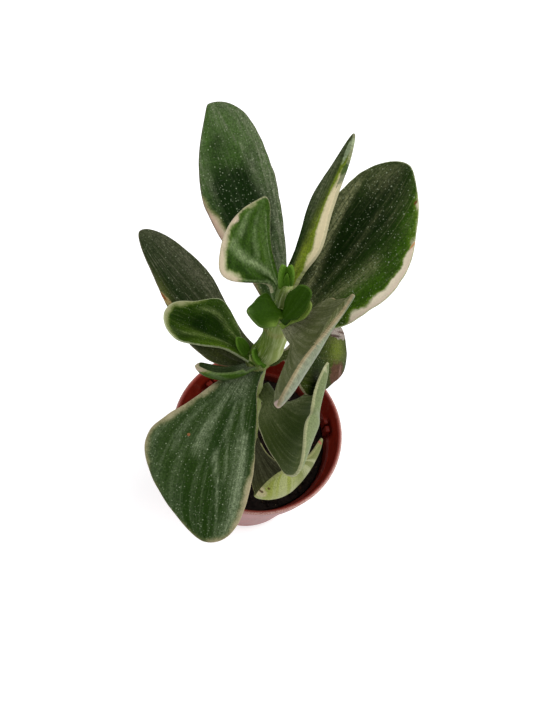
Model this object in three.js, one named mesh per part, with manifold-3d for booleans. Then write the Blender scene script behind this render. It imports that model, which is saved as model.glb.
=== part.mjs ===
// A potted variegated jade plant: a small nursery pot, its soil, one thick stem
// with a side shoot and buds, and the broad fleshy leaves that the stem carries.
// Millimetres, +Z up. The origin is the middle of the pot's flat underside.
import * as THREE from 'three';
import { mergeVertices } from 'three/addons/utils/BufferGeometryUtils.js';
import Module from 'manifold-3d';

const wasm = await Module();
wasm.setup();

const GAP = 0.3; // clearance between neighbouring pieces
const TINY = 1e-4;

// Pot
const POT_HEIGHT = 54;
const RIM_RADIUS = 28;
const FOOT_RADIUS = 20.4;
const WALL = 1.3;
const FLOOR = 1.6;
const BAND_HEIGHT = 9.5; // the upper band, above the stacking ledge
const LEDGE_STEP = 0.9;
const LEDGE_DROP = 0.7;
const POT_SEGMENTS = 60;
const DRAIN_HOLES = 6;
const DRAIN_HOLE_RADIUS = 3;
const DRAIN_CIRCLE = 13;
const DRAIN_SEGMENTS = 16;
const EDGE_ROUNDING = 0.5;
const NUB_TURNS = [22, 142, 262]; // degrees, the three pairs of stacking nubs inside the band
const NUB_PAIR_TURN = 7; // degrees between the two nubs of a pair
const NUB_SIZE = { out: 0.9, wide: 2.3, tall: 6 };
const NUB_FOOT = 43.2;

// Soil
const SOIL_TOP = 41.5;
const SOIL_SEGMENTS = 40;
const SOIL_RINGS = 7;
const SOIL_LEVELS = [0.2, 0.5, 0.8]; // shares of the height where the plug's side has a ring
const SOIL_ROUGHNESS = 0.7;

// Stem, from its buried end to the growing tip
const STEM_SIDES = 14;
const STEM_STATIONS = 18;
const STALK_STATIONS = 4;
const STEM = [
  { at: [-1.2, -0.9, 28], radius: 2.6 },
  { at: [-2.3, -1.0, 44], radius: 2.8 },
  { at: [-3.2, -1.0, 62], radius: 2.8 },
  { at: [-4.4, -1.0, 80], radius: 2.8 },
  { at: [-5.0, -0.5, 92], radius: 2.7 },
  { at: [-4.5, 0.2, 99.5], radius: 3.0 },
  { at: [-3.3, 0.1, 104], radius: 4.0 },
  { at: [-2.7, -0.1, 108], radius: 3.7 },
  { at: [-2.4, -0.1, 113], radius: 3.1 },
  { at: [-2.4, -0.4, 124], radius: 3.1 },
  { at: [-2.5, -0.6, 132], radius: 2.3 },
  { at: [-2.5, -0.5, 137], radius: 1.3 },
];
// Short stalks of the two side shoots
const SHOOT_STALKS = [
  [{ at: [-2.4, -0.6, 125], radius: 1.6 }, { at: [-2.2, -3.6, 130], radius: 1.9 },
    { at: [-2.1, -4.7, 132], radius: 1.2 }],
  [{ at: [-4.4, -0.2, 97], radius: 1.8 }, { at: [-5.9, -0.9, 101], radius: 2.0 },
    { at: [-7.3, -0.9, 103.8], radius: 1.4 }],
];

// Leaves. Each grows from its root point on the stem. Looking along the leaf
// from root to tip, with its upper face up: facing is the compass direction
// (0 right, 90 back), rise the angle above level, lift and swing how much rise
// and facing change by the tip, roll and twist the tilt of the upper face to
// the right at the root and its change, cup how far each margin curls up, and
// hook how much further the last part of the leaf curls in over its face.
// left and right are half widths at the shares of the length in WIDTH_KNOTS.
const WIDTH_KNOTS = [0, 0.12, 0.3, 0.55, 0.8, 1];
const HOOK_START = 0.6;
const MIDRIB_STEPS = 48;
const LEAF_MESH = { stations: 12, across: 7 };
const SMALL_LEAF_MESH = { stations: 7, across: 5 };
const SMALL_LEAF = 10; // leaves shorter than this take the coarser mesh
const MARGIN_THICKNESS = 0.9;
const THINNING = 0.3; // share of its thickness that a leaf loses by the tip
const CUP_START = 0.3; // share of the length where the cup is fully formed
const TIP_STATION = 0.992;
const TIP_CROWDING = 1.5; // above 1, the stations stand closer together towards the tip
const NECK = 1.5; // how far a leaf reaches straight back from its root into the stem before it is cut
const LEAVES = [
  {
    name: 'leaf_back_left', root: [-3.5, 2.5, 125], facing: 126, swing: 4, rise: 32, lift: -8, roll: -9,
    twist: -5, length: 46, cup: [14, 17], blunt: 0.74, foot: 2.6, thickness: 3.0, left: [4, 7, 9, 6, 2],
    right: [4, 6, 8, 8, 8.5], colour: 0x34492b,
  },
  {
    name: 'leaf_back_right', root: [0, 1.5, 120], facing: 57, swing: 7, rise: 37, lift: 0, roll: -2,
    twist: 1, length: 43.3, cup: [15, 14], blunt: 0.76, foot: 2.6, thickness: 3.0,
    left: [6.3, 9.3, 9.8, 8.3, 6.6], right: [8.8, 13.1, 14.4, 9.4, 4.5], colour: 0x24381c,
  },
  {
    name: 'leaf_left', root: [-5.5, 1, 99.5], facing: 156, swing: -8, rise: 22, lift: -2, roll: -11,
    twist: -2, length: 44, cup: [11, 15], blunt: 0.73, foot: 2.6, thickness: 2.8,
    left: [7.8, 10, 7.8, 4.5, 3.1], right: [2.2, 3.8, 6.5, 5.8, 4.9], colour: 0x4a523c,
  },
  {
    name: 'leaf_front', root: [-5, -1.9, 98], facing: -100, swing: 17, rise: 11, lift: -32, roll: 1,
    twist: 2, length: 45, cup: [26, 25], blunt: 0.64, foot: 2, thickness: 3.2,
    left: [2.6, 5.2, 7.7, 8.7, 10], right: [6.3, 11, 19, 14.2, 7.6], colour: 0x4a5f45,
  },
  {
    name: 'leaf_left_young', root: [-6.5, -1, 103], facing: 170, swing: 10, rise: 22, lift: -2,
    roll: -7, twist: -1, length: 25, cup: [16, 18], blunt: 0.71, foot: 1.6, thickness: 2.2,
    left: [1.7, 2, 4.3, 6, 6], right: [1.7, 5.5, 9, 5.5, 5.5], colour: 0x2c4a18,
  },
  {
    name: 'leaf_left_curled', root: [-5.2, -1, 101], facing: 224, swing: -24, rise: -18, lift: 93,
    roll: 33, twist: -7, length: 21, cup: [74, 60], blunt: 0.7, foot: 2.4, thickness: 1.6,
    left: [2.4, 6.3, 6.3, 3.4, 1.7], right: [2.3, 2, 3, 2.7, 1.5], colour: 0x3f6420,
  },
  {
    name: 'leaf_top_left', root: [-4, 0, 133], facing: 137, swing: -37, rise: 38, lift: 9, roll: 10,
    twist: 4, length: 20, cup: [15, 13], blunt: 0.87, foot: 1.6, thickness: 2.0,
    left: [1.8, 10.7, 10.7, 6.6, 1.2], right: [1.4, 1.3, 1.2, 1.3, 1.2], colour: 0x506a3a,
  },
  {
    name: 'leaf_top_narrow', root: [-2, 1, 134], facing: 77, swing: 0, rise: 44, lift: 1, roll: -28,
    twist: -1, length: 33, cup: [15, 14], blunt: 0.68, foot: 1.6, thickness: 2.4,
    left: [1.7, 2.2, 3.2, 2, 1], right: [2.1, 4, 2.6, 1.8, 1.4], colour: 0x7a7f55,
  },
  {
    name: 'leaf_right_upright', root: [0.2, -3.6, 126], facing: -59, swing: -2, rise: 12, lift: 65,
    hook: 32, roll: 48, twist: -4, length: 18, cup: [-11, 5], blunt: 0.91, foot: 1.6, neck: 3.5,
    thickness: 2.8, left: [9.8, 12.3, 13.8, 14.5, 8], right: [1.7, 2.1, 10.4, 13.4, 13.7],
    colour: 0x5d6a48,
  },
  {
    name: 'leaf_right_low', root: [0.5, -2.5, 85], facing: -43, swing: 9, rise: -3, lift: 91,
    hook: 71, roll: -5, twist: 40, length: 27, cup: [41, 3], blunt: 0.78, foot: 2.4, neck: 4,
    thickness: 2.8, left: [2.4, 9, 19.2, 7.4, 7.1], right: [6.3, 8.7, 11.1, 13.4, 8.7],
    colour: 0x47583a,
  },
  {
    name: 'leaf_lowest', root: [0.6, -3.2, 47], facing: -53, swing: -1, rise: 8, lift: 94, hook: 42,
    roll: 17, twist: 4, length: 42, cup: [28, 55], blunt: 0.73, foot: 1.8, neck: 2.5, thickness: 2.6,
    left: [2, 4, 9, 18, 11.2], right: [3.7, 7.4, 10.2, 12.3, 13.3], colour: 0x7d8f3f,
  },
  {
    name: 'leaf_right_scarred', root: [-1, 0.2, 103.5], facing: 41, swing: -10, rise: -25, lift: -18,
    roll: 34, twist: 3, length: 31, cup: [18, 12], blunt: 0.71, foot: 1.8, thickness: 2.6,
    left: [1.8, 5.8, 8.5, 8.2, 3.6], right: [1.2, 10, 10.6, 8.1, 7.1], colour: 0x2f4a22,
  },
  {
    name: 'leaf_shoot_left', root: [-2.9, -5, 132.5], facing: 202, swing: 9, rise: 26, lift: -4,
    roll: -7, twist: -2, length: 7.5, cup: [16, 15], blunt: 0.7, foot: 1.2, thickness: 1.5,
    left: [3, 3.5, 4, 3.4, 2], right: [2.6, 4.2, 3.5, 1.8, 1.4], colour: 0x3d6a1c,
  },
  {
    name: 'leaf_shoot_right', root: [-1, -5, 132.5], facing: 52, swing: 12, rise: 52, lift: 2, roll: 2,
    twist: 2, length: 8, cup: [15, 14], blunt: 0.7, foot: 1.2, thickness: 1.5,
    left: [1.5, 2.2, 2.5, 2, 2.5], right: [2.1, 2.5, 2.6, 2.2, 2.8], colour: 0x3f6f1e,
  },
  {
    name: 'leaf_shoot_back', root: [-0.8, -4.8, 130.2], facing: 35, swing: 0, rise: 42, lift: 5,
    roll: 10, twist: 0, length: 7, cup: [12, 12], blunt: 0.7, foot: 1, thickness: 1.3,
    left: [1.2, 1.5, 1.8, 1.6, 1.5], right: [1.2, 1.6, 2, 1.7, 1.5], colour: 0x6c8a3c,
  },
];

// Bud leaves, grown together with the stem: three around its tip and two at
// the side shoot
const BUD_SHAPE = {
  swing: 0, lift: 8, twist: 0, cup: [25, 25], blunt: 0.55, foot: 0.9, thickness: 1.3,
};
const BUD_WIDTHS = [0.8, 1, 1, 0.9, 0.7]; // shares of each bud's own half width
const BUDS = [
  { root: [-3.2, -0.5, 136], facing: 153, rise: 76, roll: 0, length: 6.7, wide: 1.4 },
  { root: [-2.1, 0.1, 136], facing: 141, rise: 81, roll: -75, length: 6.6, wide: 1.3 },
  { root: [-2.4, -0.7, 135.5], facing: 137, rise: 77, roll: -40, length: 5.1, wide: 0.8 },
  { root: [-7.7, -0.7, 103.5], facing: 158, rise: 47, roll: 0, length: 6.3, wide: 1.7 },
  { root: [-3.9, -3.1, 106.3], facing: 172, rise: 52, roll: 0, length: 5, wide: 1.9 },
];

// A closed solid through rings of equally many points, one after the other,
// with a flat fan over the first and the last ring. The second half of each
// ring is split the other way, so that both faces of a blade have like triangles.
function loft(rings) {
  const count = rings[0].length;
  const points = rings.flat();
  const index = [];
  for (let i = 0; i + 1 < rings.length; i++) {
    for (let j = 0; j < count; j++) {
      const a = i * count + j;
      const b = i * count + ((j + 1) % count);
      if (j < count / 2) index.push(a, b, a + count, b, b + count, a + count);
      else index.push(a, b, b + count, a, b + count, a + count);
    }
  }
  const cap = (start, forward) => {
    const middle = new THREE.Vector3();
    for (let j = 0; j < count; j++) middle.add(points[start + j]);
    points.push(middle.divideScalar(count));
    for (let j = 0; j < count; j++) {
      const a = start + j;
      const b = start + ((j + 1) % count);
      index.push(points.length - 1, forward ? a : b, forward ? b : a);
    }
  };
  cap(0, false);
  cap((rings.length - 1) * count, true);
  const geometry = new THREE.BufferGeometry().setFromPoints(points);
  geometry.setIndex(index);
  return geometry;
}

// Solids to join and cut
function solid(geometry) {
  const bare = geometry.clone();
  bare.deleteAttribute('normal');
  bare.deleteAttribute('uv');
  const merged = mergeVertices(bare, TINY);
  const made = new wasm.Manifold(new wasm.Mesh({
    numProp: 3,
    vertProperties: new Float32Array(merged.attributes.position.array),
    triVerts: new Uint32Array(merged.index.array),
  }));
  if (made.volume() > 0) return made;
  const index = Array.from(merged.index.array);
  merged.setIndex(index.reverse());
  return solid(merged);
}

function geometryOf(manifold) {
  const { vertProperties, triVerts } = manifold.getMesh();
  const geometry = new THREE.BufferGeometry();
  geometry.setAttribute('position', new THREE.Float32BufferAttribute(vertProperties, 3));
  geometry.setIndex(Array.from(triVerts));
  return geometry;
}

// The largest body of a cut solid, without the crumbs that a cut may leave
function mainBody(manifold) {
  const bodies = manifold.decompose();
  return bodies.reduce((best, body) => (body.volume() > best.volume() ? body : best));
}

// A smooth curve through values at given places, used for widths
function smoothValue(places, values, place) {
  let i = 0;
  while (i < places.length - 2 && place > places[i + 1]) i++;
  const slope = (k) => (values[k + 1] - values[k]) / (places[k + 1] - places[k]);
  const tangent = (k) => {
    if (k === 0) return slope(0);
    if (k === places.length - 1) return slope(k - 1);
    const before = places[k] - places[k - 1];
    const after = places[k + 1] - places[k];
    return (slope(k - 1) * after + slope(k) * before) / (before + after);
  };
  const span = places[i + 1] - places[i];
  const u = (place - places[i]) / span;
  return values[i] * (1 + 2 * u) * (1 - u) ** 2 + tangent(i) * span * u * (1 - u) ** 2
    + values[i + 1] * u * u * (3 - 2 * u) + tangent(i + 1) * span * u * u * (u - 1);
}

// Pot: an upper band over a stacking ledge, then a taper to the foot
function potRadius(z) {
  const bandFoot = POT_HEIGHT - BAND_HEIGHT;
  const taper = (RIM_RADIUS - LEDGE_STEP - FOOT_RADIUS) / POT_HEIGHT;
  const step = THREE.MathUtils.smoothstep(z, bandFoot - LEDGE_DROP, bandFoot) * LEDGE_STEP;
  return FOOT_RADIUS + taper * z + step;
}

function potShell() {
  const ledge = POT_HEIGHT - BAND_HEIGHT;
  const levels = [ledge / 3, 2 * ledge / 3, ledge - LEDGE_DROP, ledge, POT_HEIGHT - EDGE_ROUNDING];
  const outside = [EDGE_ROUNDING, ...levels].map((z) => [potRadius(z), z]);
  const inside = [FLOOR + EDGE_ROUNDING, ...levels].map((z) => [potRadius(z) - WALL, z]).reverse();
  const profile = [
    [0, 0], [FOOT_RADIUS - EDGE_ROUNDING, 0], ...outside,
    [RIM_RADIUS - WALL / 3, POT_HEIGHT], [RIM_RADIUS - 2 * WALL / 3, POT_HEIGHT],
    ...inside, [FOOT_RADIUS - WALL - EDGE_ROUNDING, FLOOR], [0, FLOOR],
  ].map(([r, z]) => new THREE.Vector2(r, z));
  const shell = new THREE.LatheGeometry(profile, POT_SEGMENTS);
  shell.rotateX(Math.PI / 2);
  return solid(shell);
}

function drainHole(turn) {
  const hole = new THREE.CylinderGeometry(DRAIN_HOLE_RADIUS, DRAIN_HOLE_RADIUS, 4 * FLOOR, DRAIN_SEGMENTS);
  hole.rotateX(Math.PI / 2);
  hole.translate(DRAIN_CIRCLE * Math.cos(turn), DRAIN_CIRCLE * Math.sin(turn), 0);
  return solid(hole);
}

function stackingNub(turn) {
  const { out, wide, tall } = NUB_SIZE;
  const deep = out + WALL / 2;
  const nub = new THREE.BoxGeometry(deep, wide, tall);
  nub.translate(potRadius(NUB_FOOT) - WALL - out + deep / 2, 0, NUB_FOOT + tall / 2);
  nub.rotateZ(THREE.MathUtils.degToRad(turn));
  return solid(nub);
}

function pot() {
  let body = potShell();
  for (let i = 0; i < DRAIN_HOLES; i++) {
    body = body.subtract(drainHole((i + 0.5) * 2 * Math.PI / DRAIN_HOLES));
  }
  for (const turn of NUB_TURNS) {
    body = body.add(stackingNub(turn - NUB_PAIR_TURN / 2)).add(stackingNub(turn + NUB_PAIR_TURN / 2));
  }
  return body;
}

// Soil: an uneven top on a plug that fits the pot
function soilHeight(share, turn) {
  const waves = Math.sin(3 * turn + 5 * share) + 0.7 * Math.sin(5 * turn - 9 * share + 1)
    + 0.5 * Math.cos(8 * turn + 14 * share);
  return SOIL_TOP + SOIL_ROUGHNESS * waves * (0.35 + 0.4 * share);
}

function soilRing(radius, height) {
  return Array.from({ length: SOIL_SEGMENTS }, (_, j) => {
    const turn = j * 2 * Math.PI / SOIL_SEGMENTS;
    return new THREE.Vector3(radius * Math.cos(turn), radius * Math.sin(turn), height(turn));
  });
}

function soilPlug() {
  const clear = (z) => potRadius(z) - WALL - GAP;
  const rings = [soilRing(clear(0) - 2 * EDGE_ROUNDING, () => FLOOR + GAP)];
  for (const share of SOIL_LEVELS) rings.push(soilRing(clear(share * SOIL_TOP), () => share * SOIL_TOP));
  const topRadius = clear(SOIL_TOP - SOIL_ROUGHNESS);
  for (let i = SOIL_RINGS; i >= 1; i--) {
    rings.push(soilRing(topRadius * i / SOIL_RINGS, (turn) => soilHeight(i / SOIL_RINGS, turn)));
  }
  return solid(loft(rings));
}

function soil() {
  return soilPlug().subtract(stemSolid(GAP));
}

// Stem: round sections along a smooth path
function stalkSolid(points, grow, stations) {
  const path = new THREE.CatmullRomCurve3(points.map((p) => new THREE.Vector3(...p.at)));
  const places = points.map((_, i) => i / (points.length - 1));
  const radii = points.map((p) => p.radius);
  const rings = [];
  for (let i = 0; i <= stations; i++) {
    const share = i / stations;
    const middle = path.getPoint(share);
    const radius = smoothValue(places, radii, share) + grow;
    const ahead = path.getTangent(share);
    const past = i === 0 ? -grow : i === stations ? grow : 0;
    middle.addScaledVector(ahead, past);
    const side = new THREE.Vector3(0, 1, 0).cross(ahead).normalize();
    const front = ahead.clone().cross(side);
    rings.push(Array.from({ length: STEM_SIDES }, (_, j) => {
      const turn = j * 2 * Math.PI / STEM_SIDES;
      return middle.clone().addScaledVector(side, radius * Math.cos(turn))
        .addScaledVector(front, radius * Math.sin(turn));
    }));
  }
  return solid(loft(rings));
}

function stemSolid(grow) {
  let body = stalkSolid(STEM, grow, STEM_STATIONS);
  for (const stalk of SHOOT_STALKS) body = body.add(stalkSolid(stalk, grow, STALK_STATIONS));
  for (const bud of BUDS) {
    const widths = BUD_WIDTHS.map((share) => share * bud.wide);
    body = body.add(leafSolid({ ...BUD_SHAPE, ...bud, left: widths, right: widths }, grow));
  }
  return body;
}

// The frame of a leaf's midrib at equal steps: middle point, right side and face
function leafFrames(leaf, steps = MIDRIB_STEPS) {
  const middle = new THREE.Vector3(...leaf.root);
  const frames = [];
  for (let i = 0; i <= steps; i++) {
    const share = i / steps;
    const hooked = (leaf.hook ?? 0) * Math.max(0, (share - HOOK_START) / (1 - HOOK_START)) ** 2;
    const rise = THREE.MathUtils.degToRad(leaf.rise + leaf.lift * share + hooked);
    const facing = THREE.MathUtils.degToRad(leaf.facing + leaf.swing * share);
    const roll = THREE.MathUtils.degToRad(leaf.roll + leaf.twist * share);
    const ahead = new THREE.Vector3(Math.cos(rise) * Math.cos(facing), Math.cos(rise) * Math.sin(facing),
      Math.sin(rise));
    const up = new THREE.Vector3(-Math.sin(rise) * Math.cos(facing), -Math.sin(rise) * Math.sin(facing),
      Math.cos(rise));
    const level = ahead.clone().cross(up);
    const face = up.clone().multiplyScalar(Math.cos(roll)).addScaledVector(level, Math.sin(roll));
    const side = level.multiplyScalar(Math.cos(roll)).addScaledVector(up, -Math.sin(roll));
    if (i > 0) middle.addScaledVector(frames[i - 1].ahead.clone().add(ahead), leaf.length / steps / 2);
    frames.push({ middle: middle.clone(), ahead, side, face });
  }
  return frames;
}

function frameAt(frames, share) {
  const place = THREE.MathUtils.clamp(share, 0, 1) * (frames.length - 1);
  const i = Math.min(Math.floor(place), frames.length - 2);
  const u = place - i;
  const mix = (key) => frames[i][key].clone().lerp(frames[i + 1][key], u);
  return { middle: mix('middle'), side: mix('side'), face: mix('face'), ahead: mix('ahead') };
}

function halfWidth(leaf, widths, share) {
  const width = smoothValue(WIDTH_KNOTS, [leaf.foot, ...widths], Math.max(share, 0));
  const u = Math.max(0, (share - leaf.blunt) / (1 - leaf.blunt));
  return width * Math.sqrt(Math.max(0, 1 - u * u));
}

// A leaf's section at one station: its upper face from left to right, then its
// lower face back, over a middle line that is cupped toward the upper face
function leafRing(leaf, frames, share, points, grow) {
  const { middle, side, face, ahead } = frameAt(frames, share);
  const past = share < 0 ? -grow : share === TIP_STATION ? grow : 0;
  middle.addScaledVector(ahead, Math.min(share, 0) * leaf.length + past);
  const upper = [];
  const lower = [];
  for (let j = 0; j < points; j++) {
    const across = 2 * j / (points - 1) - 1;
    const right = across >= 0;
    const reach = Math.abs(across);
    const width = (halfWidth(leaf, right ? leaf.right : leaf.left, share) + grow) * reach;
    const curl = THREE.MathUtils.degToRad(leaf.cup[right ? 1 : 0]) * reach
      * THREE.MathUtils.clamp(share / CUP_START, 0, 1) || TINY;
    const point = middle.clone()
      .addScaledVector(side, Math.sign(across) * width * Math.sin(curl) / curl)
      .addScaledVector(face, width * (1 - Math.cos(curl)) / curl);
    const full = leaf.thickness * (1 - THINNING * Math.max(share, 0));
    const half = grow + (MARGIN_THICKNESS + (full - MARGIN_THICKNESS) * Math.sqrt(1 - reach ** 2)) / 2;
    upper.push(point.clone().addScaledVector(face, half));
    lower.unshift(point.addScaledVector(face, -half));
  }
  return [...upper, ...lower];
}

function leafSolid(leaf, grow) {
  const frames = leafFrames(leaf);
  const { stations, across } = leaf.length < SMALL_LEAF ? SMALL_LEAF_MESH : LEAF_MESH;
  const rings = [leafRing(leaf, frames, -(leaf.neck ?? NECK) / leaf.length, across, grow)];
  for (let i = 0; i <= stations; i++) {
    const share = TIP_STATION * (1 - (1 - i / stations) ** TIP_CROWDING);
    rings.push(leafRing(leaf, frames, share, across, grow));
  }
  return solid(loft(rings));
}

// Scene graph
function piece(name, manifold, colour, roughness) {
  const material = new THREE.MeshStandardMaterial({ color: colour, roughness, metalness: 0 });
  const mesh = new THREE.Mesh(geometryOf(manifold), material);
  mesh.name = name;
  return mesh;
}

const plant = new THREE.Group();
plant.add(piece('pot', pot(), 0x6e2a26, 0.45));
plant.add(piece('soil', soil(), 0x1d130e, 0.95));
plant.add(piece('stem', stemSolid(0), 0x6a7a3c, 0.5));
let placed = stemSolid(GAP);
for (const leaf of LEAVES) {
  const blade = mainBody(leafSolid(leaf, 0).subtract(placed));
  plant.add(piece(leaf.name, blade, leaf.colour, 0.5));
  placed = placed.add(leafSolid(leaf, GAP));
}

export default plant;
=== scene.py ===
import math

import bmesh
import bpy
import numpy as np
from mathutils import Matrix, Vector


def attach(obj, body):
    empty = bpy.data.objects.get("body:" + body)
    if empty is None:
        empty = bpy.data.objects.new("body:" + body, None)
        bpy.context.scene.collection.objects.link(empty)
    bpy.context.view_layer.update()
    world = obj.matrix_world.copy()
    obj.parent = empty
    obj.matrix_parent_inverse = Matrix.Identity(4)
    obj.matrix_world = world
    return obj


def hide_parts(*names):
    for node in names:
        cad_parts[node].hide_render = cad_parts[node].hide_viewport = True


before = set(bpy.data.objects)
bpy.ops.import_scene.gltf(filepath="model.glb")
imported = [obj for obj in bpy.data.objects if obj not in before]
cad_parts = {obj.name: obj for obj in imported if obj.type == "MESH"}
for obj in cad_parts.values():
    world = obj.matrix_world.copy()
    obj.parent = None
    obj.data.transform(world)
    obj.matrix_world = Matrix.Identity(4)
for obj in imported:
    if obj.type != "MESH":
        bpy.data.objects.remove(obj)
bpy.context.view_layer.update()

MM = 0.001

# Camera
CAMERA_EYE = (-3.1, -71.8, 238.3)
CAMERA_TILT = 28.19  # degrees up from looking straight down
CAMERA_ROLL = 13.714
CAMERA_LENS = 30.38
SENSOR = 36

# Light and floor, in metres. Each light has its place, size, power and colour.
LIGHTS = {
    "key": ((0.4, 0.15, 0.65), 0.7, 3.8, (1, 0.99, 0.97)),
    "fill": ((-0.45, -0.1, 0.7), 0.9, 2.2, (0.97, 0.99, 1)),
}
LIGHT_TARGET = (0, 0, 0.08)
SKY = (0.96, 0.98, 1, 1)
SKY_STRENGTH = 0.55
FLOOR_GLOW = 0.4

# Leaves. The same shapes as the solids have: each grows from its root on the
# stem, and looking along it from root to tip, with its upper face up, facing is
# the compass direction, rise the angle above level, lift and swing their change
# by the tip, roll and twist the tilt to the right and its change, cup how far
# each margin curls up, and hook how much further the last part curls in.
# left and right are half widths at the shares of the length in KNOTS.
KNOTS = (0, 0.12, 0.3, 0.55, 0.8, 1)
HOOK_START = 0.6
MIDRIB_STEPS = 48
MARGIN_THICKNESS = 0.6
THINNING = 0.3
CUP_START = 0.3
NECK = 1.5
NO_CREAM = (-4, -4, -4, -4, -4, -4)
FAN_START = 0.3  # how far the bands have opened at the root of a leaf whose fan is 1
RIB_HEIGHT = 0.045
GROOVE_DEPTH = 0.25
GROOVE_WIDTH = 1.3
SWAY = 0.22  # how far a full-sized blade is uneven
FULL_SIZE = 30  # the length from which a leaf has its full unevenness
STROKE_START = 0.08  # the share of the length over which a band of bloom and painted sheen fades in, and out
STROKE_END = 0.1
LEAF_DOTS = ((0.6, 0.15, 0.4), (0.95, 0.19, 0.5), (2.1, 0.24, 0.65))  # pitch, radius, strength

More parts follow.
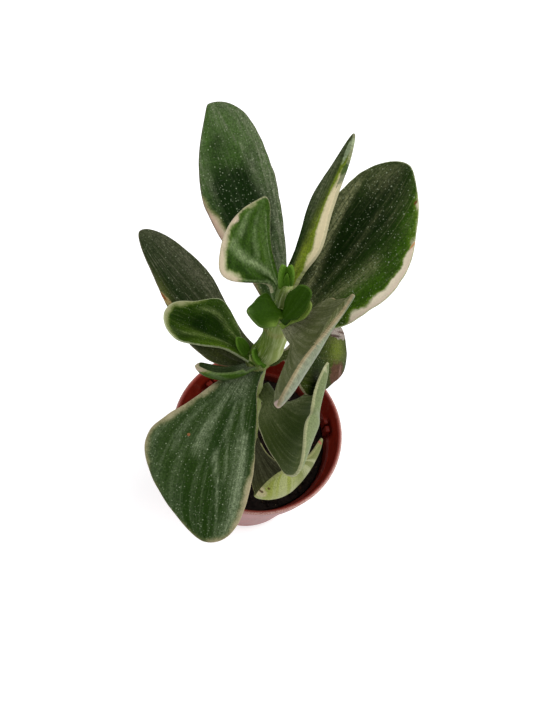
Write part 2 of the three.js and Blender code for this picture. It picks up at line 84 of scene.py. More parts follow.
LEAVES = {
    "leaf_back_left": {
        "root": (-3.5, 2.5, 125), "facing": 126, "swing": 4, "rise": 32, "lift": -8, "roll": -9,
        "twist": -5, "length": 46, "cup": (14, 17), "blunt": 0.74, "foot": 2.6, "thickness": 3.0,
        "left": (4, 7, 9, 6, 2), "right": (4, 6, 8, 8, 8.5),
    },
    "leaf_back_right": {
        "root": (0, 1.5, 120), "facing": 57, "swing": 7, "rise": 37, "lift": 0, "roll": -2, "twist": 1,
        "length": 43.3, "cup": (15, 14), "blunt": 0.76, "foot": 2.6, "thickness": 3.0,
        "left": (6.3, 9.3, 9.8, 8.3, 6.6), "right": (8.8, 13.1, 14.4, 9.4, 4.5),
    },
    "leaf_left": {
        "root": (-5.5, 1, 99.5), "facing": 156, "swing": -8, "rise": 22, "lift": -2, "roll": -11,
        "twist": -2, "length": 44, "cup": (11, 15), "blunt": 0.73, "foot": 2.6, "thickness": 2.8,
        "left": (7.8, 10, 7.8, 4.5, 3.1), "right": (2.2, 3.8, 6.5, 5.8, 4.9),
    },
    "leaf_front": {
        "root": (-5, -1.9, 98), "facing": -100, "swing": 17, "rise": 11, "lift": -32, "roll": 1,
        "twist": 2, "length": 45, "cup": (26, 25), "blunt": 0.64, "foot": 2, "thickness": 3.2,
        "left": (2.6, 5.2, 7.7, 8.7, 10), "right": (6.3, 11, 19, 14.2, 7.6),
    },
    "leaf_left_young": {
        "root": (-6.5, -1, 103), "facing": 170, "swing": 10, "rise": 22, "lift": -2, "roll": -7,
        "twist": -1, "length": 25, "cup": (16, 18), "blunt": 0.71, "foot": 1.6, "thickness": 2.2,
        "left": (1.7, 2, 4.3, 6, 6), "right": (1.7, 5.5, 9, 5.5, 5.5),
    },
    "leaf_left_curled": {
        "root": (-5.2, -1, 101), "facing": 224, "swing": -24, "rise": -18, "lift": 93, "roll": 33,
        "twist": -7, "length": 21, "cup": (74, 60), "blunt": 0.7, "foot": 2.4, "thickness": 1.6,
        "left": (2.4, 6.3, 6.3, 3.4, 1.7), "right": (2.3, 2, 3, 2.7, 1.5),
    },
    "leaf_top_left": {
        "root": (-4, 0, 133), "facing": 137, "swing": -37, "rise": 38, "lift": 9, "roll": 10,
        "twist": 4, "length": 20, "cup": (15, 13), "blunt": 0.87, "foot": 1.6, "thickness": 2.0,
        "left": (1.8, 10.7, 10.7, 6.6, 1.2), "right": (1.4, 1.3, 1.2, 1.3, 1.2),
    },
    "leaf_top_narrow": {
        "root": (-2, 1, 134), "facing": 77, "swing": 0, "rise": 44, "lift": 1, "roll": -28, "twist": -1,
        "length": 33, "cup": (15, 14), "blunt": 0.68, "foot": 1.6, "thickness": 2.4,
        "left": (1.7, 2.2, 3.2, 2, 1), "right": (2.1, 4, 2.6, 1.8, 1.4),
    },
    "leaf_right_upright": {
        "root": (0.2, -3.6, 126), "facing": -59, "swing": -2, "rise": 12, "lift": 65, "hook": 32,
        "roll": 48, "twist": -4, "length": 18, "cup": (-11, 5), "blunt": 0.91, "foot": 1.6,
        "neck": 3.5, "thickness": 2.8, "left": (9.8, 12.3, 13.8, 14.5, 8),
        "right": (1.7, 2.1, 10.4, 13.4, 13.7),
    },
    "leaf_right_low": {
        "root": (0.5, -2.5, 85), "facing": -43, "swing": 9, "rise": -3, "lift": 91, "hook": 71,
        "roll": -5, "twist": 40, "length": 27, "cup": (41, 3), "blunt": 0.78, "foot": 2.4, "neck": 4,
        "thickness": 2.8, "left": (2.4, 9, 19.2, 7.4, 7.1), "right": (6.3, 8.7, 11.1, 13.4, 8.7),
    },
    "leaf_lowest": {
        "root": (0.6, -3.2, 47), "facing": -53, "swing": -1, "rise": 8, "lift": 94, "hook": 42,
        "roll": 17, "twist": 4, "length": 42, "cup": (28, 55), "blunt": 0.73, "foot": 1.8, "neck": 2.5,
        "thickness": 2.6, "left": (2, 4, 9, 18, 11.2), "right": (3.7, 7.4, 10.2, 12.3, 13.3),
    },
    "leaf_right_scarred": {
        "root": (-1, 0.2, 103.5), "facing": 41, "swing": -10, "rise": -25, "lift": -18, "roll": 34,
        "twist": 3, "length": 31, "cup": (18, 12), "blunt": 0.71, "foot": 1.8, "thickness": 2.6,
        "left": (1.8, 5.8, 8.5, 8.2, 3.6), "right": (1.2, 10, 10.6, 8.1, 7.1),
    },
    "leaf_shoot_left": {
        "root": (-2.9, -5, 132.5), "facing": 202, "swing": 9, "rise": 26, "lift": -4, "roll": -7,
        "twist": -2, "length": 7.5, "cup": (16, 15), "blunt": 0.7, "foot": 1.2, "thickness": 1.5,
        "left": (3, 3.5, 4, 3.4, 2), "right": (2.6, 4.2, 3.5, 1.8, 1.4),
    },
    "leaf_shoot_right": {
        "root": (-1, -5, 132.5), "facing": 52, "swing": 12, "rise": 52, "lift": 2, "roll": 2,
        "twist": 2, "length": 8, "cup": (15, 14), "blunt": 0.7, "foot": 1.2, "thickness": 1.5,
        "left": (1.5, 2.2, 2.5, 2, 2.5), "right": (2.1, 2.5, 2.6, 2.2, 2.8),
    },
    "leaf_shoot_back": {
        "root": (-0.8, -4.8, 130.2), "facing": 35, "swing": 0, "rise": 42, "lift": 5, "roll": 10,
        "twist": 0, "length": 7, "cup": (12, 12), "blunt": 0.7, "foot": 1, "thickness": 1.3,
        "left": (1.2, 1.5, 1.8, 1.6, 1.5), "right": (1.2, 1.6, 2, 1.7, 1.5),
    },
}

# Looks of the leaves, in sRGB values. The shade, glow and bloom zones are soft
# zones of the deep, the glow and the bloom colour: (across, share of the length,
# reach across, reach along, strength), with across from -1 left to 1 right. The
# bloom colour is partly the leaves' real waxy bloom and partly painted sheen: the
# leaves have almost no gloss of their own, and the pale sheen on them is painted
# in this colour. strokes are bands of it along paths of (across, share), each
# with its reach across and strength. Random streaks and lines of about pitch mm
# break all this up; they fan out from the root when fan is 1 and follow the
# outline when it is 0. broken is how far fine lines break up the bloom and
# painted sheen, and under_streaks how much of it the lower face has. cream_left
# and cream_right are the widths of the cream margins at KNOTS. marks are single
# spots and patches at (across, share), with a size in mm, a shape that stretches
# it across and along, and how ragged it is.
PLAIN_LOOK = {
    "deep": (24, 44, 10), "mid": (50, 74, 32), "glow": (62, 96, 24), "bloom": (112, 120, 98),
    "under": (96, 112, 74), "cream": (204, 192, 164), "blush": (190, 168, 148), "border": (104, 124, 44),
    "border_reach": 1.0, "soft": 0.5, "lobes": 2.4, "rim": (122, 116, 88), "rim_width": 0.3,
    "rim_strength": 0.6, "streaks": 0.3, "pitch": 2.4, "fan": 0.5, "lines": 0.3, "dots": 0.6,
    "haze": 0.04, "grain": 1.0, "broken": 1.0, "under_streaks": 0.3,
    "cream_left": NO_CREAM, "cream_right": NO_CREAM,
    "shades": (), "glows": (), "bloom_and_sheen_zones": (), "strokes": (), "marks": (),
}
SHOOT_LOOK = {
    "deep": (26, 50, 1), "mid": (36, 62, 3), "bloom": (96, 122, 64), "under": (78, 104, 40),
    "streaks": 0.1, "lines": 0.1, "dots": 0, "haze": 0, "rim_strength": 0.3, "grain": 0.5,
}
LOOKS = {
    "leaf_back_left": {
        "deep": (12, 32, 2), "mid": (56, 82, 32), "bloom": (112, 118, 94), "rim": (84, 68, 50),
        "cream": (192, 174, 148), "blush": (180, 154, 134), "border": (104, 112, 62), "border_reach": 0.5,
        "soft": 0.8, "lobes": 0.8, "cream_left": (-1.2, 0.3, 2.0, 0.3, -4, -4), "dots": 1.0,
        "streaks": 0.2, "lines": 0.25,
        "shades": ((-0.1, 0.42, 0.75, 0.26, 1.7), (-0.4, 0.62, 0.4, 0.2, 0.8)),
        "bloom_and_sheen_zones": ((0.95, 0.5, 0.42, 0.7, 0.8), (0.3, 1.0, 0.7, 0.16, 0.5), (-0.98, 0.8, 0.15, 0.3, 0.5),
                   (0.6, 0.15, 0.5, 0.2, 0.8)),
        "strokes": ((((0.6, 0.4), (0.5, 0.6), (0.4, 0.75), (0.15, 0.95)), 0.06, 0.5),),
    },
    "leaf_back_right": {
        "deep": (8, 26, 0), "mid": (20, 40, 2), "glow": (46, 76, 4), "bloom": (110, 112, 78),
        "rim": (150, 154, 116), "rim_strength": 0.8, "fan": 0.7, "pitch": 1.8, "streaks": 0.12,
        "lines": 0.3, "haze": 0.01, "dots": 1.0, "cream": (212, 200, 176), "blush": (200, 184, 164),
        "border": (84, 112, 24), "border_reach": 0.7, "lobes": 2.2,
        "cream_right": (-1, -0.2, 1.7, 1.5, 0.2, -1.6),
        "shades": ((-0.1, 0.55, 0.6, 0.45, 1.0),),
        "glows": ((0.85, 0.7, 0.25, 0.25, 1.0), (0.7, 0.35, 0.3, 0.25, 1.0)),
        "bloom_and_sheen_zones": ((-0.9, 0.6, 0.25, 0.3, 0.7), (-0.5, 0.9, 0.6, 0.12, 0.4), (0, 0.08, 0.8, 0.14, 0.6)),
        "strokes": ((((-0.1, 0.12), (-0.22, 0.3), (-0.42, 0.45), (-0.68, 0.66), (-0.8, 0.76)), 0.11, 1.0),
                    (((0.05, 0.08), (0.1, 0.3), (0.12, 0.5), (0.1, 0.7)), 0.05, 0.4),
                    (((0.25, 0.08), (0.4, 0.3), (0.5, 0.5)), 0.11, 0.6)),
        "marks": ({"at": (0.9, 0.862), "size": 0.4, "shape": (0.7, 1.4), "colour": (96, 58, 24)},
                  {"at": (0.97, 0.69), "size": 0.35, "shape": (0.6, 3), "colour": (176, 124, 76)}),
    },
    "leaf_left": {
        "deep": (26, 42, 12), "mid": (44, 54, 28), "glow": (82, 88, 40), "bloom": (98, 98, 78),
        "rim": (112, 102, 78), "pitch": 2.2, "streaks": 0.25, "lines": 0.8, "fan": 0.3, "dots": 0.8,
        "haze": 0.02, "shades": ((-0.6, 0.55, 0.45, 0.35, 0.8),),
        "glows": ((0, 0.2, 1, 0.16, 0.9), (-0.95, 0.64, 0.25, 0.12, 0.8)),
        "bloom_and_sheen_zones": ((0.7, 0.65, 0.5, 0.5, 0.7), (0.2, 1.0, 0.8, 0.12, 0.4), (0.2, 0.0, 0.8, 0.06, 0.6)),
        "strokes": ((((0.5, 0.3), (0.62, 0.6), (0.5, 0.85)), 0.07, 0.9),
                    (((-0.1, 0.35), (0.05, 0.6), (0.1, 0.8)), 0.03, 0.6)),
        "marks": ({"at": (-0.92, 0.6), "size": 1.1, "shape": (0.6, 3.0), "colour": (158, 138, 92)},
                  {"at": (-1.0, 0.64), "size": 0.5, "shape": (0.6, 4.0), "colour": (136, 74, 36)}),
    },
    "leaf_front": {
        "deep": (20, 42, 4), "mid": (34, 54, 12), "bloom": (116, 128, 98), "rim": (160, 150, 116),
        "rim_strength": 0.4, "fan": 0.7, "pitch": 3.0, "streaks": 0.2, "lines": 0.2, "dots": 0.9,
        "lobes": 1.2, "border": (88, 94, 56), "border_reach": 0.4, "soft": 0.9, "cream": (184, 174, 142),
        "blush": (156, 144, 114), "cream_left": (-4, -4, -4, -0.2, 0.9, 0.1), "haze": 0.02, "broken": 0.8,
        "cream_right": (-4, -0.3, 0.7, 0.5, -0.6, -0.3),
        "shades": ((-0.85, 0.25, 0.2, 0.3, 1.0), (0.15, 0.35, 0.12, 0.3, 0.8), (0.4, 0.85, 0.8, 0.2, 0.5)),
        "bloom_and_sheen_zones": ((0.4, 0.12, 0.6, 0.12, 0.9), (0.97, 0.5, 0.14, 0.3, 0.4), (-0.75, 0.92, 0.35, 0.1, 0.8)),
        "strokes": ((((0.47, 0.12), (0.38, 0.36), (0.33, 0.53)), 0.08, 0.85),
                    (((0.62, 0.2), (0.69, 0.38), (0.63, 0.54)), 0.06, 0.35),
                    (((-0.12, 0.2), (-0.54, 0.49)), 0.1, 0.5),
                    (((-0.5, 0.45), (-0.54, 0.63), (-0.64, 0.81), (-0.8, 0.95)), 0.19, 1.0),
                    (((0.1, 0.58), (-0.1, 0.8), (-0.29, 0.96)), 0.035, 0.85),
                    (((0.12, 0.2), (0.04, 0.45), (-0.18, 0.64)), 0.045, 0.55)),
        "marks": ({"at": (0.52, 0.5), "size": 0.38, "colour": (138, 88, 58)},),
    },
    "leaf_left_young": {
        "deep": (14, 36, 0), "mid": (42, 68, 4), "glow": (80, 106, 22), "bloom": (112, 128, 72),
        "rim": (186, 192, 152), "rim_width": 0.4, "rim_strength": 0.65, "soft": 1.2,
        "cream": (190, 186, 148), "blush": (172, 168, 128),
        "border_reach": 0.3, "lobes": 1.6, "cream_left": (-4, -4, -3, -2.0, -0.5, 1.0),
        "cream_right": (-4, -4, -2.5, -1.0, 0.0, 1.3), "streaks": 0.15, "pitch": 2.0, "dots": 0.5,
        "haze": 0, "shades": ((0.1, 0.6, 0.55, 0.3, 1.0), (-0.7, 0.75, 0.2, 0.2, 0.9)),
        "glows": ((-0.85, 0.35, 0.3, 0.3, 1.0), (-0.4, 0.5, 0.15, 0.3, 0.6)),
        "bloom_and_sheen_zones": ((0.6, 0.1, 0.5, 0.15, 0.5), (0.9, 0.3, 0.2, 0.3, 0.4)),
        "strokes": ((((-0.15, 0.3), (-0.44, 0.65), (-0.8, 0.9)), 0.1, 0.6),
                    (((0.45, 0.25), (0.55, 0.5), (0.6, 0.68)), 0.1, 0.6)),
    },
    "leaf_left_curled": {
        "deep": (22, 38, 10), "mid": (46, 62, 26), "bloom": (124, 134, 106), "rim": (120, 140, 84),
        "under": (66, 96, 28), "cream_left": (-4, -4, -4, -4, -2, 2.2),
        "cream_right": (-4, -4, -4, -4, -2, 2.2), "dots": 0, "streaks": 0.2, "rim_strength": 0.4,
        "bloom_and_sheen_zones": ((0, 0.1, 1, 0.16, 1.0),), "cream": (176, 166, 132),
    },
    "leaf_top_left": {
        "deep": (30, 54, 2), "mid": (46, 74, 12), "glow": (62, 92, 18), "bloom": (124, 140, 98),
        "rim": (180, 172, 140), "rim_strength": 0.5, "fan": 1.0, "pitch": 3.0, "streaks": 0.15,
        "lines": 0.1, "dots": 0.15, "haze": 0.02, "cream": (184, 178, 146), "blush": (190, 174, 150),
        "broken": 0.4, "soft": 0.6, "border_reach": 0.3, "border": (84, 108, 36), "lobes": 1.4,
        "cream_left": (-3, -2.2, 0.7, 0.9, 0.4, -1.2),
        "shades": ((-0.65, 0.31, 0.12, 0.12, 1.6), (-0.84, 0.42, 0.12, 0.12, 1.4),
                   (-0.35, 0.17, 0.1, 0.1, 1.2), (-0.97, 0.24, 0.1, 0.08, 1.2),
                   (-0.5, 0.6, 0.08, 0.12, 1.2), (-0.32, 0.48, 0.06, 0.12, 1.2),
                   (-0.15, 0.38, 0.05, 0.12, 1.0), (-0.1, 0.8, 0.2, 0.2, 0.5)),
        "glows": ((-0.1, 0.55, 0.06, 0.35, 0.7),),
        "strokes": ((((-0.1, 0.1), (-0.2, 0.3), (-0.48, 0.44), (-0.74, 0.56)), 0.1, 0.95),
                    (((0.2, 0.1), (0.15, 0.4), (0.1, 0.8)), 0.12, 0.5),
                    (((-0.4, 0.08), (-0.72, 0.17), (-0.88, 0.27)), 0.09, 0.6),
                    (((-0.22, 0.45), (-0.26, 0.6), (-0.26, 0.8)), 0.06, 0.45),
                    (((-0.6, 0.66), (-0.62, 0.86)), 0.1, 0.5)),
        "bloom_and_sheen_zones": ((-0.9, 0.1, 0.4, 0.08, 1.0),),
        "marks": ({"at": (-0.98, 0.79), "size": 0.8, "shape": (1.2, 1), "colour": (184, 168, 146)},),
    },
    "leaf_top_narrow": {
        "deep": (16, 38, 2), "mid": (32, 48, 8), "glow": (116, 130, 32), "bloom": (96, 100, 74),
        "rim": (150, 150, 118), "cream": (222, 208, 168), "blush": (210, 196, 158), "border": (112, 130, 32),
        "border_reach": 1.8, "lobes": 0.9, "cream_right": (-2.4, -0.6, 1.7, 1.5, 0.1, -4),
        "streaks": 0.25, "pitch": 1.3, "lines": 0.6, "dots": 0.1, "haze": 0.02,
        "shades": ((-0.8, 0.3, 0.5, 0.3, 1.0),),
        "glows": ((0.2, 0.2, 0.35, 0.35, 1.0), (1.0, 0.05, 0.8, 0.1, 1.0)),
        "bloom_and_sheen_zones": ((-0.5, 0.7, 0.5, 0.3, 0.7), (0, 1, 1, 0.15, 0.5)),
        "marks": ({"at": (0.98, 0.78), "size": 0.5, "shape": (0.7, 7), "colour": (104, 112, 84)},
                  {"at": (0.5, 0.9), "size": 0.7, "shape": (0.7, 4), "strength": 0.7,
                   "colour": (140, 152, 118)},
                  {"at": (0.85, 0.79), "size": 0.45, "shape": (0.8, 3), "colour": (56, 78, 30)}),
    },
    "leaf_right_upright": {
        "deep": (54, 62, 26), "mid": (70, 76, 40), "bloom": (142, 142, 112), "rim": (166, 146, 116),
        "under": (130, 138, 114), "streaks": 0.3, "dots": 0.1, "rim_strength": 0.5, "haze": 0.1,
        "grain": 0.6, "under_streaks": 0.15, "bloom_and_sheen_zones": ((0, 0, 1.5, 0.22, 1.0), (1, 0.5, 0.3, 0.5, 0.3)),
        "marks": ({"at": (0.98, 0.79), "size": 1.1, "shape": (1, 1.6), "strength": 0.8,
                   "colour": (184, 158, 150)},),
    },
    "leaf_right_low": {
        "deep": (44, 58, 20), "mid": (62, 74, 32), "glow": (72, 96, 40), "bloom": (120, 126, 90),
        "rim": (180, 178, 138), "under": (122, 134, 92), "streaks": 0.35, "dots": 0.2, "fan": 0.9,
        "pitch": 3.0, "grain": 0.7, "shades": ((0.1, 0.55, 0.6, 0.25, 1.0),),
        "bloom_and_sheen_zones": ((-0.8, 0.15, 0.5, 0.25, 0.9), (0.0, 0.1, 1, 0.15, 0.6)),
        "marks": ({"at": (-0.98, 0.61), "size": 0.6, "shape": (1.4, 1), "strength": 0.5,
                   "colour": (184, 182, 150)},),
    },
    "leaf_lowest": {
        # deep and mid are painted shadow: the upper face lies in shade under the leaves above and is coloured
        # near-black brown for it.
        "deep": (26, 28, 16), "mid": (40, 40, 24), "glow": (150, 158, 74), "bloom": (174, 176, 138),
        "rim": (158, 158, 108), "rim_width": 0.5, "under": (118, 124, 76), "streaks": 0.08,
        "under_streaks": 0.5, "lines": 0.1, "dots": 0.05, "grain": 0.7,
        "glows": ((0.6, 0.9, 0.6, 0.3, 0.9),),
        "marks": ({"at": (1.0, 0.86), "size": 2.4, "shape": (0.8, 1), "strength": 0.7,
                   "colour": (190, 176, 138)},
                  {"at": (0.97, 0.87), "size": 0.45, "colour": (72, 50, 30)},
                  {"at": (0.85, 0.9), "size": 0.4, "colour": (84, 60, 34)},
                  {"at": (-0.99, 0.84), "size": 0.7, "shape": (0.7, 2), "colour": (158, 96, 80)}),
    },
    "leaf_right_scarred": {
        "deep": (26, 40, 4), "mid": (46, 56, 12), "glow": (110, 124, 36), "bloom": (108, 106, 72),
        "rim": (150, 140, 112), "streaks": 0.15, "dots": 0.7, "shades": ((0, 0.4, 1, 0.4, 0.8),),
        "glows": ((-0.2, 0.8, 0.55, 0.14, 0.55),),
        "marks": ({"at": (-0.8, 0.78), "size": 1.9, "shape": (1, 2.2), "ragged": 0.9,
                   "colour": (150, 138, 130)},
                  {"at": (-0.6, 0.72), "size": 0.4, "shape": (1, 6), "ragged": 1.2,
                   "colour": (70, 52, 46)},
                  {"at": (-0.85, 0.8), "size": 0.35, "shape": (1, 6), "ragged": 1.2,
                   "colour": (88, 68, 60)},
                  {"at": (0.75, 0.81), "size": 3.4, "shape": (1.3, 1.1), "ragged": 0.7,
                   "colour": (82, 54, 42)},
                  {"at": (0.75, 0.86), "size": 1.4, "shape": (1.6, 0.5), "ragged": 1,
                   "colour": (112, 86, 74)}),
    },
    "leaf_shoot_left": {
        **SHOOT_LOOK, "glow": (110, 134, 56), "rim": (120, 140, 80), "rim_strength": 0.25,
        "glows": ((-0.95, 0.2, 0.3, 0.3, 0.8),), "bloom_and_sheen_zones": ((0, 1, 0.5, 0.12, 0.8),),
    },
    "leaf_shoot_right": {**SHOOT_LOOK, "rim": (96, 124, 52), "rim_strength": 0.2},
    "leaf_shoot_back": {
        **SHOOT_LOOK, "deep": (84, 106, 32), "mid": (112, 136, 54), "bloom": (140, 150, 96),
        "rim": (146, 158, 96), "lines": 0.2, "under": (112, 134, 62),
    },
}
BUD_LOOK = {
    **SHOOT_LOOK, "deep": (44, 76, 10), "mid": (68, 104, 22), "bloom": (120, 146, 76),
    "rim": (112, 146, 56), "under": (78, 112, 30),
}
YOUNG_LEAVES = ("leaf_left_young", "leaf_left_curled", "leaf_shoot_left", "leaf_shoot_right",
                "leaf_shoot_back")

BUD_SHAPE = {
    "swing": 0, "lift": 8, "twist": 0, "cup": (25, 25), "blunt": 0.55, "foot": 0.9, "thickness": 1.3,
}
BUD_WIDTHS = (0.8, 1, 1, 0.9, 0.7)
BUDS = {
    "bud_tip_left": {
        "root": (-3.2, -0.5, 136), "facing": 153, "rise": 76, "roll": 0, "length": 6.7, "wide": 1.4,
    },
    "bud_tip_right": {
        "root": (-2.1, 0.1, 136), "facing": 141, "rise": 81, "roll": -75, "length": 6.6, "wide": 1.3,
    },
    "bud_tip_front": {
        "root": (-2.4, -0.7, 135.5), "facing": 137, "rise": 77, "roll": -40, "length": 5.1, "wide": 0.8,
    },
    "bud_side_back": {
        "root": (-7.7, -0.7, 103.5), "facing": 158, "rise": 47, "roll": 0, "length": 6.3, "wide": 1.7,
    },
    "bud_side_front": {
        "root": (-3.9, -3.1, 106.3), "facing": 172, "rise": 52, "roll": 0, "length": 5, "wide": 1.9,
    },
}

# Stem
STEM = (
    ((-1.2, -0.9, 28), 2.6), ((-2.3, -1.0, 44), 2.8), ((-3.2, -1.0, 62), 2.8), ((-4.4, -1.0, 80), 2.8),
    ((-5.0, -0.5, 92), 2.7), ((-4.8, 0.3, 99.5), 2.7), ((-4.0, 0.3, 104), 3.4), ((-3.0, 0, 108), 3.6),
    ((-2.4, -0.1, 113), 3.1),
    ((-2.4, -0.4, 124), 3.1), ((-2.5, -0.6, 132), 2.3), ((-2.5, -0.5, 137), 1.3),
)
STALKS = {
    "stalk_top": (((-2.4, -0.6, 125), 1.6), ((-2.2, -3.6, 130), 1.9), ((-2.1, -4.7, 132), 1.2)),
    "stalk_low": (((-4.4, -0.2, 97), 1.8), ((-5.9, -0.9, 101), 2.0), ((-7.3, -0.9, 103.8), 1.4)),
}
STEM_NODES = (47, 66, 85, 101, 121, 128)  # heights of the swollen rings where leaves grow
NODE_SWELLING = 0.22
NODE_REACH = 1.6

# Pot
POT_HEIGHT = 54
RIM_RADIUS = 28
FOOT_RADIUS = 20.4
WALL = 1.3
FLOOR = 1.6
BAND_HEIGHT = 9.5
LEDGE_STEP = 0.9
LEDGE_DROP = 0.7
EDGE_ROUNDING = 0.5
DRAIN_HOLES = 6
DRAIN_HOLE_RADIUS = 3
DRAIN_CIRCLE = 13
NUB_TURNS = (22, 142, 262)
NUB_PAIR_TURN = 7
NUB_SIZE = (0.9, 2.3, 6)
NUB_FOOT = 43.2
POT_SIDES = 180
BASE_RINGS = (4, 8, 12, 16)

# Soil
SOIL_TOP = 41.5
SOIL_ROUGHNESS = 0.7
SOIL_GAP = 0.3
SOIL_SIDES = 180
SOIL_RINGS = 64
CRUMBS = 900
SOIL_TONE = 0.1  # crumbs have tones from 0 dark to 1 grit, and the soil under them has this one

FULL_TURN = 2 * math.pi


def linear(red, green, blue):
    """The linear colour of an sRGB colour given from 0 to 255."""
    def one(value):
        share = value / 255
        return share / 12.92 if share <= 0.04045 else ((share + 0.055) / 1.055) ** 2.4
    return (one(red), one(green), one(blue), 1)


def ripple(x, y, seed, pitch):
    """Smooth seeded unevenness between about -1 and 1, with waves of about that pitch."""
    draw = np.random.default_rng(seed)
    total = np.zeros(np.broadcast(x, y).shape)
    waves = 7
    for _ in range(waves):
        turn = draw.uniform(0, FULL_TURN)
        size = pitch * draw.uniform(0.7, 1.6)
        phase = draw.uniform(0, FULL_TURN)
        total = total + np.sin((x * math.cos(turn) + y * math.sin(turn)) * FULL_TURN / size + phase)
    return total / math.sqrt(2 * waves)


def smooth_step(value, low, high):
    share = np.clip((value - low) / (high - low), 0, 1)
    return share * share * (3 - 2 * share)


def smooth_values(places, values, place):
    """A smooth curve through values at places, the same curve as the solids have."""
    places = np.array(places, float)
    values = np.array(values, float)
    spans = np.diff(places)
    slopes = np.diff(values) / spans
    inner = (slopes[:-1] * spans[1:] + slopes[1:] * spans[:-1]) / (spans[:-1] + spans[1:])
    tangents = np.concatenate((slopes[:1], inner, slopes[-1:]))
    i = np.clip(np.searchsorted(places, place) - 1, 0, len(spans) - 1)
    span = spans[i]
    u = (place - places[i]) / span
    return (values[i] * (1 + 2 * u) * (1 - u) ** 2 + tangents[i] * span * u * (1 - u) ** 2
            + values[i + 1] * u * u * (3 - 2 * u) + tangents[i + 1] * span * u * u * (u - 1))


def mesh_object(name, points, faces, fields=None):
    """A mesh object from points in millimetres, with a named value or vector on each point."""
    mesh = bpy.data.meshes.new(name)
    mesh.from_pydata((np.asarray(points, float) * MM).tolist(), [], faces)
    mesh.validate()
    for field, values in (fields or {}).items():
        values = np.asarray(values, float)
        kind = "FLOAT_VECTOR" if values.ndim == 2 else "FLOAT"
        made = mesh.attributes.new(field, kind, "POINT")
        made.data.foreach_set("vector" if values.ndim == 2 else "value", values.ravel())
    mesh.polygons.foreach_set("use_smooth", [True] * len(mesh.polygons))
    piece = bpy.data.objects.new(name, mesh)
    bpy.context.scene.collection.objects.link(piece)
    return piece


def ring_faces(rows, count, start=0):
    """Quads between rows of equally many points."""
    faces = []
    for i in range(rows - 1):
        for j in range(count):
            a = start + i * count + j
            b = start + i * count + (j + 1) % count
            faces.append((a, b, b + count, a + count))
    return faces


def tube_faces(rows, count, first, last):
    """Quads between the rows, and a fan to a middle point at each end."""
    end = (rows - 1) * count
    faces = ring_faces(rows, count)
    faces += [((j + 1) % count, j, first) for j in range(count)]
    faces += [(end + j, end + (j + 1) % count, last) for j in range(count)]
    return faces


def dress(piece, material, slot, *nodes):
    """The piece gets its material, rides on the plant and stands for the named solids."""
    piece.data.materials.append(material)
    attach(piece, "root")
    if nodes:
        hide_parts(*nodes)


class Shader:
    """The nodes of one material."""

    def __init__(self, name):
        self.material = bpy.data.materials.new(name)
        self.material.use_nodes = True
        self.tree = self.material.node_tree
        self.surface = self.tree.nodes["Principled BSDF"]

    def feed(self, socket, value):
        if isinstance(value, bpy.types.NodeSocket):
            self.tree.links.new(value, socket)
        else:
            socket.default_value = value

    def node(self, kind, inputs, **settings):
        made = self.tree.nodes.new(kind)
        for key, value in settings.items():
            setattr(made, key, value)
        for key, value in inputs.items():
            self.feed(made.inputs[key], value)
        return made

    def math(self, operation, *values, clamp=False):
        made = self.node("ShaderNodeMath", dict(enumerate(values)), operation=operation)
        made.use_clamp = clamp
        return made.outputs[0]

    def vector(self, operation, *values):
        made = self.node("ShaderNodeVectorMath", dict(enumerate(values)), operation=operation)
        return made.outputs["Value" if operation == "LENGTH" else "Vector"]

    def mix(self, amount, first, second):
        made = self.node("ShaderNodeMix", {0: amount, 6: first, 7: second}, data_type="RGBA")
        return made.outputs[2]

    def remap(self, value, low, high, start=0.0, end=1.0):
        inputs = {"Value": value, "From Min": low, "From Max": high, "To Min": start, "To Max": end}
        made = self.node("ShaderNodeMapRange", inputs, interpolation_type="SMOOTHSTEP")
        return made.outputs["Result"]

    def field(self, name, output="Fac"):
        made = self.node("ShaderNodeAttribute", {}, attribute_name=name)
        return made.outputs[output]

    def place(self):
        """The place of each point, in millimetres."""
        made = self.node("ShaderNodeTexCoord", {})
        return self.vector("MULTIPLY", made.outputs["Object"], (1 / MM, 1 / MM, 1 / MM))

    def parts(self, vector):
        return self.node("ShaderNodeSeparateXYZ", {"Vector": vector}).outputs

    def noise(self, vector, scale=1.0, detail=2.0, roughness=0.5, stretch=(1, 1, 1)):
        if stretch != (1, 1, 1):
            vector = self.vector("MULTIPLY", vector, stretch)
        inputs = {"Vector": vector, "Scale": scale, "Detail": detail, "Roughness": roughness}
        return self.node("ShaderNodeTexNoise", inputs).outputs["Fac"]

    def cells(self, vector, scale):
        return self.node("ShaderNodeTexVoronoi", {"Vector": vector, "Scale": scale}).outputs

    def bump(self, height, strength, distance):
        inputs = {"Height": height, "Strength": strength, "Distance": distance}
        return self.node("ShaderNodeBump", inputs).outputs["Normal"]

    def finish(self, colour, roughness, normal, **constants):
        self.feed(self.surface.inputs["Base Color"], colour)
        self.feed(self.surface.inputs["Roughness"], roughness)
        self.feed(self.surface.inputs["Normal"], normal)
        for name, value in constants.items():
            self.surface.inputs[name.replace("_", " ")].default_value = value
        return self.material


# Camera, light and floor
def place_camera():
    data = bpy.data.cameras.new("camera")
    data.lens = CAMERA_LENS
    data.sensor_width = SENSOR
    data.clip_start = 0.01
    camera = bpy.data.objects.new("camera", data)
    eye = Matrix.Translation(Vector(CAMERA_EYE) * MM)
    tilt = Matrix.Rotation(math.radians(CAMERA_TILT), 4, "X")
    roll = Matrix.Rotation(math.radians(CAMERA_ROLL), 4, "Z")
    camera.matrix_world = eye @ tilt @ roll
    bpy.context.scene.collection.objects.link(camera)
    bpy.context.scene.camera = camera


